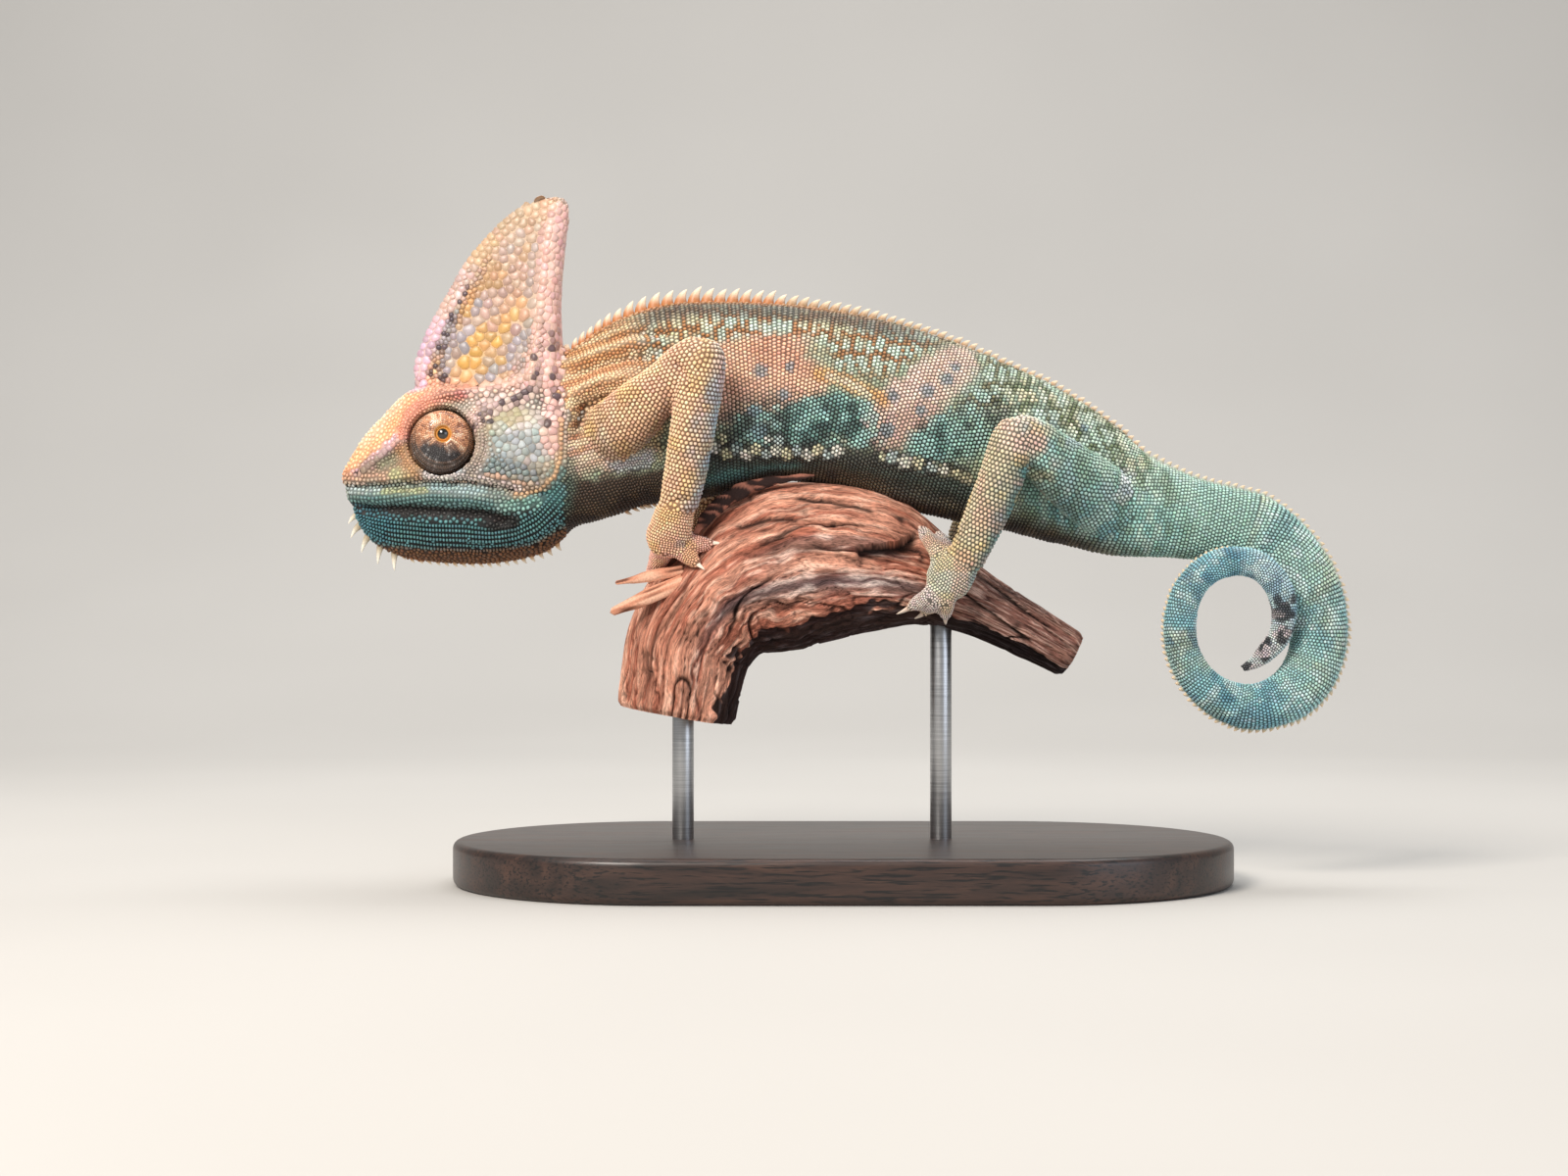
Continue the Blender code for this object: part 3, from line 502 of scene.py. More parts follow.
# the eye's middle, the degrees it looks back and up, its socket's floor, how far the lids' opening is set off
eye = {"x": -110.25, "z": 120.3, "back": 6, "up": 2, "floor": 6.4, "lean": (0.35, 0, 1.85)}

headParts = ("skull", "jaw", "casque")
# each length of the animal: its surface, first and last row, place on the unwrap (u, v, width, height)
lengths = {
    "body": {"point": bodyPoint, "first": 0, "last": trunkEnd, "rect": (0.005, 0.005, 0.62, 0.455)},
    "tail": {"point": bodyPoint, "first": trunkEnd, "last": tailEnd, "rect": (0.005, 0.47, 0.80, 0.20)},
    "skull": {"point": sectionPoint(skullRows, ("lip", "cheek", "brow"), skullSection), "first": 0,
              "last": len(skullRows) - 1, "rect": (0.635, 0.005, 0.22, 0.29)},
    "jaw": {"point": sectionPoint(jawRows, ("lip", "pouch"), jawSection), "first": 0,
            "last": len(jawRows) - 1, "rect": (0.635, 0.305, 0.22, 0.15)},
    "casque": {"point": casquePoint, "first": 0, "last": len(casqueRows) - 1,
               "rect": (0.865, 0.005, 0.13, 0.30)},
}
legs = []
limbCorners = ((0.005, 0.685), (0.335, 0.685), (0.665, 0.685), (0.005, 0.815))  # on the unwrap
for pair, leg in (("fore", foreleg), ("hind", hindleg)):
    for mirror, word in ((1, "left"), (-1, "right")):
        shift = 7 if (pair, word) == ("fore", "right") else 0  # the far foreleg stands further back
        u, v = limbCorners[len(legs)]
        legs.append({"pair": pair, "word": word, "mirror": mirror, "shift": shift, "leg": leg})
        for part, start, wide in (("upper", 0, 0.13), ("lower", 0.14, 0.12), ("palm", 0.27, 0.05)):
            lengths[f"{pair}_{word}_{part}"] = {
                "point": limbPoint(leg[part], mirror, shift), "first": 0, "last": len(leg[part]) - 1,
                "rect": (u + start, v, wide, 0.12)}

# toes lie on the bare bough, as on the solids
bareRings, bareSides = 15, 16
bareAt = np.repeat(np.linspace(0, len(boughRows) - 1, bareRings), bareSides)
barePoints = boughPoint(bareAt, np.tile(turnsOf(bareSides), bareRings))
wood = Surface(meshOf("bareBough", barePoints, gridFaces(bareRings, bareSides)))
# turns the normals outwards
woodTurn = -1 if wood.tree.find_nearest(Vector((-17.6, 0, 130)))[1].z < 0 else 1


def onWood(point, lift):
    place, normal, _, _ = wood.tree.find_nearest(Vector(point))
    normal = normal * woodTurn
    return place + normal * lift, normal


toes = []
for limbNumber, limb in enumerate(legs):
    palm, *targets = (Vector((x + limb["shift"], y * limb["mirror"], z))
                      for x, y, z in [limb["leg"]["palm"][2][:3], *limb["leg"]["toes"]])
    for number, target in enumerate(targets, 1):
        end, normal = onWood(target, toeRadii[1] + 0.4)
        knuckle, _ = onWood(palm.lerp(end, 0.5), toeRadii[0] + 1.6)
        way = end - knuckle
        way = (way - normal * way.dot(normal)).normalized()
        tip, _ = onWood(end + way * 4.2, 0.65)
        middle = end.lerp(tip, 0.5)
        middle = middle + onWood(middle, 0)[1] * 0.6
        spots = (palm, palm.lerp(knuckle, 0.55), knuckle, knuckle.lerp(end, 0.6), end, end + way * 1.3)
        thick = (3.2, 3.15, 2.85, 2.5, 2.1, 1.5)
        rows = np.array([(*spot, radius, radius) for spot, radius in zip(spots, thick)])
        u = 0.34 + 0.065 * (number - 1 + 5 * (limbNumber % 2))
        lengths[f"{limb['pair']}_{limb['word']}_toe{number}"] = {
            "point": limbPoint(rows, 1, 0), "first": 0, "last": len(rows) - 1,
            "rect": (u, 0.82 + 0.07 * (limbNumber // 2), 0.06, 0.055)}
        toes.append({"limb": limb, "end": end, "middle": middle, "tip": tip, "normal": normal})


print("the skin: lofts joined and remeshed")
lofts = [
    closedLoft("trunk", bodyPoint, tailEnd, 430, 48),
    *(closedLoft(name, lengths[name]["point"], lengths[name]["last"], rings, 64)
      for name, rings in (("skull", 60), ("jaw", 56), ("casque", 60))),
]
for name, length in lengths.items():
    if name.startswith(("fore", "hind")):
        rings, sides, dome = (14, 16, 1.3) if "toe" in name else (30, 32, 2.2)
        lofts.append(closedLoft(name, length["point"], length["last"], rings, sides, dome))
deselectAll()
for obj in lofts:
    obj.select_set(True)
skin = bpy.context.view_layer.objects.active = lofts[0]
bpy.ops.object.join()
skin.name = "skin"
skin.data.remesh_voxel_size = skinFit["voxel"] * mm
bpy.ops.object.voxel_remesh()
smoothing = skin.modifiers.new("smooth the joins", "SMOOTH")
smoothing.factor, smoothing.iterations = 0.5, skinFit["smoothing"]
bpy.ops.object.modifier_apply(modifier=smoothing.name)
print("  skin faces", len(skin.data.polygons))


def uvOn(length, at, angle):
    # how far along a length and how far round it, each from 0 to 1
    share = (at - length["first"]) / (length["last"] - length["first"])
    return np.stack([share, angle / (2 * math.pi)], axis=1)


# which length of the animal each place belongs to, and where it lies on that length
chartNames, chartPoints, chartIndex, chartUv = list(lengths), [], [], []
for number, name in enumerate(chartNames):
    length = lengths[name]
    rings, sides = ((260, 110) if name in ("body", "tail") else (90, 110) if name in headParts
                    else (30, 24) if "toe" in name else (60, 48))
    at = np.repeat(np.linspace(length["first"], length["last"], rings), sides)
    angle = np.tile(turnsOf(sides), rings)
    chartPoints.append(length["point"](at, angle))
    chartIndex.append(np.full(len(at), number))
    chartUv.append(uvOn(length, at, angle))
chartPoints, chartIndex, chartUv = (np.concatenate(a) for a in (chartPoints, chartIndex, chartUv))
chartTree = treeOf(chartPoints)
# 0 for the body and tail, 1 for the head, 2 for a limb
partOfChart = np.array([0 if n in ("body", "tail") else 1 if n in headParts else 2 for n in chartNames])
eyeMiddle = np.array([eye["x"], 0, eye["z"]])
eyeBack, eyeUp = math.radians(eye["back"]), math.radians(eye["up"])
eyeWay = {side: unit(np.array([math.sin(eyeBack), side * math.cos(eyeBack), math.sin(eyeUp)]))
          for side in (-1, 1)}


def eyeWays(points):
    # the axis of the eye on each place's own side
    return np.where(points[:, 1:2] < 0, eyeWay[-1], eyeWay[1])


def eyeDistance(points):
    # distance from the nearer eye's axis, and how far out along it
    way = eyeWays(points)
    out = ((points - eyeMiddle) * way).sum(axis=1)
    return np.linalg.norm(points - eyeMiddle - way * out[:, None], axis=1), out


# folds and ridges: the part it lies on, height (less than 0 for a groove), half-width, path in the side view
mouthLine = [(-138.2, 109.4), (-129.6, 108.5), (-124.2, 108.9), (-113.4, 110.2), (-102.6, 109.9),
             (-94.5, 108.5), (-86.4, 106.9)]
jawGroove = [(-136, 103.4), (-129, 102.4), (-118, 102.2), (-108, 101.6), (-99, 101.2), (-93, 100)]
canthalCrest = [(-132.8, 111.8), (-125.6, 117.4), (-119.6, 122.6)]
browCrest = [(-119.8, 123.4), (-118, 128.4), (-113.8, 131.8), (-108.2, 133.4), (-102, 134.4)]
sideCrest = [(-101.5, 134.6), (-92, 136.4), (-85.4, 138.6), (-83.6, 148.5), (-82.4, 162), (-81.2, 175.5),
             (-79.8, 186)]
templeCrest = [(-101.4, 125), (-97.2, 130), (-89.1, 132.8), (-85, 135.6), (-83.6, 143)]
cheekRim = [(-76.6, 126), (-76.8, 117), (-78.4, 111.5), (-82.5, 107.6), (-88.5, 106.2)]
frontCrest = [(-118, 136.5), (-118, 141), (-116, 147.6), (-112, 156), (-107.6, 163.4), (-102.2, 172.2),
              (-96.8, 178.4), (-91.4, 183.6), (-86, 187.2)]
rearStrip = [(-79.2, 120), (-78.9, 130), (-79.2, 141), (-79.8, 156), (-79.2, 170), (-78.2, 184)]
pouchTop = [(-134.6, 101.6), (-129, 100.4), (-122, 99.4), (-112, 98.6), (-103, 98.4), (-96, 97.4),
            (-89, 98.6), (-83, 102.4), (-77.5, 109.5), (-74.5, 114)]
pouchLow = [(-133.4, 98.4), (-130, 95.6), (-124, 92.9), (-112, 91.2), (-100, 90.7), (-92, 91.2), (-84, 93),
            (-78, 97.2), (-73.5, 102.4)]
pouchRidges = 6
reliefs = [
    (1, -0.7, 0.5, mouthLine),
    (1, -2, 1.5, jawGroove),
    (1, -1.3, 1.7, [(-95, 98.9), (-90.6, 99.2)]),
    (1, 1, 1.1, canthalCrest),
    (1, 1.5, 1.2, browCrest),
    (1, 1, 1.3, sideCrest),
    (1, 0.75, 1.5, templeCrest),
    (1, 0.9, 1, cheekRim),
    (1, 0.7, 1.8, rearStrip),
    (1, -0.7, 2.4, [(-128, 113.2), (-121.5, 117)]),
    (1, -0.6, 1.3, [(-98, 127), (-90, 129.8), (-86.4, 131)]),
    (1, -0.5, 1.2, [(-81.8, 128), (-82.2, 140), (-81.6, 156)]),
    (1, 0.8, 1.3, [(-135, 105.8), (-112, 106.4), (-96, 104.8)]),
    (1, -0.6, 1, [(-94, 104.6), (-86, 103.4), (-80, 104.6)]),
    (0, 2.5, 1.7, [(-75.6, 124), (-73.4, 133), (-67.5, 136.8), (-58, 138)]),
    (0, -2, 1.2, [(-73.2, 122), (-70.6, 130.6), (-64.5, 133.2)]),
    (0, 1.8, 1.1, [(-71.6, 119), (-68.6, 126.4), (-63.6, 129.4)]),
    (0, -1.7, 1.1, [(-73.6, 139.6), (-63, 143), (-52, 144.4)]),
    (0, 1.2, 1.3, [(-73, 143), (-60, 147.4), (-48, 147.8)]),
    (0, -1.1, 1, [(-70, 148), (-58, 151), (-46, 150.6)]),
    (0, -1, 2.2, [(-72, 111.5), (-60, 112.6), (-50, 113.6)]),
    (0, -1.1, 2.4, [(-50, 118.6), (-46, 122)]),
    (0, 0.7, 2.2, [(-34, 117.8), (-10, 117.2), (14, 114.6), (30, 110.6)]),
    (0, -0.9, 2.4, [(-36, 112), (-8, 111.6), (18, 108), (36, 102.4)]),
    (0, -0.9, 1.6, [(64, 112), (72, 106.4), (80, 98)]),
    (0, 0.8, 2, [(67, 115), (75, 109), (84, 100.6)]),
    (0, -0.6, 1.2, [(72, 117.4), (80, 110), (88, 103.6)]),
    (0, -0.6, 1.3, [(54, 120), (57, 108), (62, 97)]),
    (1, -0.8, 0.55, [(-133.2, 112.5), (-132.4, 112.7)]),
    (2, -1.1, 0.9, [(-45.5, 141.5), (-42.5, 137), (-41.5, 132)]),
    (2, -0.6, 0.8, [(-41, 139.5), (-37.5, 137.5)]),
    (2, -0.7, 0.55, [(-50, 103.6), (-41, 104.8)]),
    (2, 0.5, 1.3, [(-49, 101), (-42, 102.2)]),
    (2, -0.9, 0.9, [(46, 113.5), (51, 112), (55, 108)]),
    (2, -0.6, 0.6, [(27.5, 96.6), (37, 94.6)]),
    (2, 0.8, 2.6, [(-60, 131), (-54, 136)]),
    (2, 0.7, 2.2, [(40, 113), (37, 104)]),
    (2, 0.7, 2.2, [(-41, 128), (-43.5, 116)]),
]


def reliefAt(points, part):
    # how far the skin stands out at each place, in mm
    x, z = points[:, 0], points[:, 2]
    total = np.zeros(len(points))
    for on, height, width, path in reliefs:
        rows = np.nonzero(part == on)[0]
        far, along = pathDistance(x[rows], z[rows], path)
        ends = ease(0, 0.12, along) * ease(0, 0.12, 1 - along) * 0.75 + 0.25
        total[rows] += height * np.exp(-(far / width) ** 2) * ends
    r, _ = eyeDistance(points)
    above = np.where(z > eye["z"], 1.0, 0.6)
    rings = (0.75 * above * np.exp(-((r - 10.2) / 0.8) ** 2) - 0.35 * np.exp(-((r - 11.9) / 0.6) ** 2)
             + 0.3 * above * np.exp(-((r - 13.2) / 0.7) ** 2))
    total += np.where(part == 1, rings, 0)
    # long folds of the throat pouch
    top, low = pathAt(pouchTop, x), pathAt(pouchLow, x)
    share = (top - z) / (top - low)
    inside = ((part < 2) * (x < -72) * ease(-0.05, 0.05, share) * ease(1.06, 0.96, share)
              * ease(-135, -132, x))
    total -= inside * 0.2 * np.cos(share * pouchRidges * 2 * math.pi)
    # ribs show a little along the flank, and skin is loose over the body
    flank = (part == 0) & (x > -40) & (x < 45)
    ribs = np.sin((x + 0.22 * z) / 6.4 * 2 * math.pi)
    total += np.where(flank, 0.28 * ribs * ease(108, 118, z) * ease(150, 140, z), 0)
    looseness = (0.30 * fractal(points, 8, 5), 0.12 * noise(points, 5, 6), 0.32 * fractal(points, 6.5, 7))
    return total + np.choose(part, looseness)


skinPoints = verticesOf(skin.data) / mm
skinNormals = verticesOf(skin.data, "normal")
skinChart = chartIndex[nearestOf(chartTree, skinPoints)]
skinPart = partOfChart[skinChart]
relief = reliefAt(skinPoints, skinPart) - skinFit["coatDepth"]
relief = np.where(np.abs(skinPoints[:, 1]) < 1.2, np.minimum(relief, 0.1), relief)
skinPoints = skinPoints + skinNormals * relief[:, None]
# the sockets: skin within each ring of the eye sinks to the socket's floor
r, out = eyeDistance(skinPoints)
inside = (skinPart == 1) & (r < 9.6) & (out > eye["floor"])
sunk = np.where(inside, (out - eye["floor"]) * (1 - ease(8.7, 9.5, r)), 0)
skinPoints = skinPoints - eyeWays(skinPoints) * sunk[:, None]
# the skin is drawn smooth under the casque, where the neck joins the head
edgeEnds = np.array([e.vertices[:] for e in skin.data.edges])
smoothing = np.exp(-(((skinPoints[:, 0] + 75.5) / 4.0) ** 2)) * ease(128, 116, skinPoints[:, 2])
touch = np.bincount(edgeEnds.ravel(), minlength=len(skinPoints))[:, None]
for turn in range(40):
    total = np.zeros_like(skinPoints)
    for axis in range(3):
        across = skinPoints[:, axis]
        total[:, axis] = sum(np.bincount(edgeEnds[:, end], across[edgeEnds[:, 1 - end]], len(across))
                             for end in (0, 1))
    skinPoints = skinPoints + (total / touch - skinPoints) * (0.6 * smoothing)[:, None]
moveVertices(skin.data, skinPoints)
skinSurface = Surface(skin.data)


print("where the scales sit")
scaleSize = {"trunk": 1.16, "tail": 1, "tailTip": 0.72, "limb": 1.26, "foot": 0.86, "toe": 0.72, "head": 1.15}
# head: scale spacing in mm, half-width, softness, path
headSizes = [
    (1.85, 6.5, 0.3, [(-96, 126), (-84, 123), (-86, 118)]),
    (1.55, 3, 0.3, [(-97, 113.5), (-84, 111.5)]),
    (2.4, 9, 0.25, [(-100, 143), (-91, 160), (-86, 172)]),
    (2.9, 6.5, 0.4, [(-100, 144), (-93, 156)]),
    (2.3, 3, 0.3, [(-84, 186), (-90, 180)]),
    (2, 2.4, 0.3, rearStrip),
    (1.6, 2.6, 0.3, templeCrest),
    (1.2, 5, 0.4, [(-134, 113), (-124, 124), (-116, 133)]),
    (1, 2.6, 0.3, [(-129, 113), (-120, 114.6)]),
    (1.15, 5, 0.3, [(-132, 97), (-110, 94), (-88, 97), (-79, 106)]),
    (1.15, 2, 0.5, jawGroove),
]


def headSpacing(points):
    x, z = points[:, 0], points[:, 2]
    size = np.full(len(points), scaleSize["head"])
    for value, width, soft, path in headSizes:
        far, _ = pathDistance(x, z, path)
        size = blendTo(size, value, 1 - ease(1 - soft, 1 + soft, far / width))
    r, _ = eyeDistance(points)
    return blendTo(size, 0.78, 1 - ease(11.5, 15.0, r))


def bodySpacing(at):
    trunk = np.interp(at, [0, 2.6, 4, 12, 16], [0.92, 0.96, scaleSize["trunk"], 1.12, 1.04])
    tail = np.interp(at, [16, 22, 30, 36, 38], [1.04, scaleSize["tail"], 0.9, 0.78, scaleSize["tailTip"]])
    return np.where(at < trunkEnd, trunk, tail)


def limbSpacing(name):
    return scaleSize["toe"] if "toe" in name else scaleSize["foot"] if "palm" in name else scaleSize["limb"]


def backboneRow(chart, uv, other=0):
    # where on the backbone places of the body and tail belong
    tail = trunkEnd + uv[:, 0] * (tailEnd - trunkEnd)
    return np.where(chart == 0, uv[:, 0] * trunkEnd, np.where(chart == 1, tail, other))


def spacingOf(places, chart, uv):
    size = np.array([limbSpacing(name) for name in chartNames])[chart]
    size = np.where(chart < 2, bodySpacing(backboneRow(chart, uv)), size)
    return np.where(partOfChart[chart] == 1, headSpacing(places), size)


def ringedRoots(name, spacing, fill=0.9):
    # places in rings along one length, each ring evenly filled and set half a step round from the last
    length = lengths[name]
    at = np.linspace(length["first"], length["last"], 1200)
    middle = (length["point"](at, np.zeros(1200)) + length["point"](at, np.full(1200, math.pi))) / 2
    steps = np.linalg.norm(np.diff(middle, axis=0), axis=1) / (fill * spacing(at[1:]))
    run = np.concatenate([[0], np.cumsum(steps)])
    rings = np.interp(np.arange(0.5, run[-1]), run, at)
    loop = np.linspace(0, 2 * math.pi, 97)
    places, uv = [], []
    for number, here in enumerate(rings):
        points = length["point"](np.full(97, here), loop)
        way = runOf(points)
        count = max(7, round(way[-1] / float(spacing(np.array([here]))[0])))
        angle = np.interp((np.arange(count) + 0.5 * (number % 2)) / count * way[-1], way, loop)
        places.append(length["point"](np.full(count, here), angle))
        uv.append(uvOn(length, np.full(count, here), angle))
    return np.concatenate(places), np.concatenate(uv)


def beadRow(path, step, size, reach=None):
    # places along a path drawn in the side view, thrown onto both sides of the skin
    path = np.array(path, float)
    run = runOf(path)
    along = np.arange(step / 2, run[-1], step)
    found = []
    for side in (-1, 1):
        for x, z in zip(*(np.interp(along, run, line) for line in path.T)):
            hit = None
            if reach is None:
                hit = skinSurface.tree.ray_cast(Vector((x, side * 30, z)), Vector((0, -side, 0)))[0]
                hit = None if hit is None or hit.y * side < -0.5 else hit
            found.append(hit or skinSurface.tree.find_nearest(Vector((x, side * (reach or 0.4), z)))[0])
    return np.array(found), np.full(len(found), size)


def between(top, bottom, share, xs):
    # a line lying part of the way between two lines of the side view
    zTop, zLow = pathAt(top, xs), pathAt(bottom, xs)
    return list(zip(xs, zTop + (zLow - zTop) * share))


rows = []
for lift, step in ((0.80, 1.2), (1.85, 1.15)):  # upper lip
    rows.append(beadRow([(x, z + lift) for x, z in mouthLine[:-1]], step, 1.15))
for drop, step in ((0.95, 1.15), (2.0, 1.15), (3.05, 1.1), (4.1, 1.1), (5.1, 1.1)):  # lower lip
    rows.append(beadRow([(x + 0.6, z - drop) for x, z in mouthLine[:-1]], step, 1.1))
pouchSize = 0.90  # rows of this size stand up as ridges
for number in range(pouchRidges):  # long rows of the throat pouch
    share = (number + 0.5) / pouchRidges
    xs = np.linspace(-133.6 + 1.2 * share, -74.4, 40)
    rows.append(beadRow(between(pouchTop, pouchLow, share, xs), pouchSize, pouchSize))
for path, step, size, reach in ((canthalCrest, 1.55, 1.6, None), (browCrest, 1.05, 1.05, None),
                                (sideCrest, 2.1, 2.1, None), (templeCrest, 1.7, 1.7, None),
                                (cheekRim, 1.3, 1.3, None), (frontCrest, 2.1, 2.2, 0.9),
                                ([(x + 2.6, z - 0.4) for x, z in frontCrest], 2.2, 2.2, None)):
    rows.append(beadRow(path, step, size, reach))
ridgeRows, _, ridgeUp = backboneAt(np.linspace(0.6, 12.6, 200))
ridgeLine = ridgeRows[:, :3] + ridgeUp * (ridgeRows[:, 3:4] - 0.9)
rows.append(beadRow([(p[0], p[2]) for p in ridgeLine], 1.7, 1.7, reach=2.2))
for way in range(3):  # rings of small scales round each eye
    radius = 9.75 + 0.95 * way
    ring = [(eye["x"] + 0.9 + radius * math.cos(a), eye["z"] + 0.9 + radius * math.sin(a))
            for a in np.linspace(0, 2 * math.pi, 60)]
    rows.append(beadRow(ring, 0.95, 0.95))
beads, beadSizes = (np.concatenate(column) for column in zip(*rows))


def thinned(places, spacing, share=0.72):
    # keeps places in order where each stays clear of the ones kept before it
    tree = treeOf(places)
    blocked = np.zeros(len(places), bool)
    for i in range(len(places)):
        if not blocked[i]:
            for _, j, _ in tree.find_range(places[i], spacing[i] * share):
                if j > i:
                    blocked[j] = True
    return ~blocked


ringed = {}
for name in lengths:
    if name in ("body", "tail"):
        ringed[name] = ringedRoots(name, bodySpacing)
    elif name not in headParts:
        ringed[name] = ringedRoots(name, lambda at, size=limbSpacing(name): np.full(np.shape(at), size))
ringPlaces = np.concatenate([p for p, _ in ringed.values()])
ringUv = np.concatenate([uv for _, uv in ringed.values()])
ringChart = np.concatenate([np.full(len(p), chartNames.index(n)) for n, (p, _) in ringed.items()])
onSkin, normals, far = skinSurface.nearest(ringPlaces)
# a ring's place counts only where the skin there is that length's own
own = (far < 2.0) & (((ringPlaces - onSkin) * normals).sum(axis=1) > -1.1)
skinTree = treeOf(skinSurface.points)
ringOwner = skinChart[nearestOf(skinTree, onSkin)]
own &= partOfChart[ringOwner] == partOfChart[ringChart]
own &= ~((ringChart == chartNames.index("body")) & (onSkin[:, 0] < -75.0) & (onSkin[:, 2] > 100))
roots = {"place": onSkin[own], "normal": normals[own], "chart": ringChart[own], "uv": ringUv[own]}
roots["size"] = spacingOf(roots["place"], roots["chart"], roots["uv"])
print("  in rings", len(roots["size"]))


def chartOf(places):
    index = nearestOf(chartTree, places)
    return chartIndex[index], chartUv[index]


# beads first, then rings, then whatever is still bare is filled evenly
places, normals, _ = skinSurface.nearest(beads)
chart, uv = chartOf(places)
for key, value in (("place", places), ("normal", normals), ("chart", chart), ("uv", uv), ("size", beadSizes)):
    roots[key] = np.concatenate([value, roots[key]])
roots["fixed"] = np.arange(len(roots["place"])) < len(places)


def keep(rows):
    for key in roots:
        roots[key] = roots[key][rows]


def inSocket(places, chart):
    r, out = eyeDistance(places)
    return (partOfChart[chart] == 1) & (r < 9.3) & (out > 4)


keep(~inSocket(roots["place"], roots["chart"]))
keep(thinned(roots["place"], roots["size"], 0.66))
extra, extraNormals = skinSurface.scatter(4.5, 11)
chart, uv = chartOf(extra)
sizes = spacingOf(extra, chart, uv)
tree = treeOf(roots["place"])
nearest = [tree.find(p) for p in extra]
gap, index = np.array([hit[2] for hit in nearest]), np.array([hit[1] for hit in nearest])
bare = ~inSocket(extra, chart) & (gap > 0.40 * (sizes + roots["size"][index]))
found = {"place": extra, "normal": extraNormals, "chart": chart, "uv": uv, "size": sizes,
         "fixed": np.zeros(len(extra), bool)}
kept = thinned(extra[bare], sizes[bare], 0.80)
for key, value in found.items():
    roots[key] = np.concatenate([roots[key], value[bare][kept]])
print("  scales", len(roots["size"]), "of them filled in", int(kept.sum()))

for turn in range(3):  # they settle to even gaps
    near = neighboursOf(roots["place"], 7)
    apart = roots["place"][:, None] - roots["place"][near]
    gap = np.linalg.norm(apart, axis=2)
    want = (roots["size"][:, None] + roots["size"][near]) / 2
    away = apart / np.maximum(gap, 1e-6)[:, :, None]
    push = (away * np.clip(want - gap, -0.2, 0.6)[:, :, None]).sum(axis=1) * 0.22
    push[roots["fixed"]] = 0
    push -= roots["normal"] * (push * roots["normal"]).sum(axis=1)[:, None]
    roots["place"], roots["normal"], _ = skinSurface.nearest(roots["place"] + push)


print("the markings")
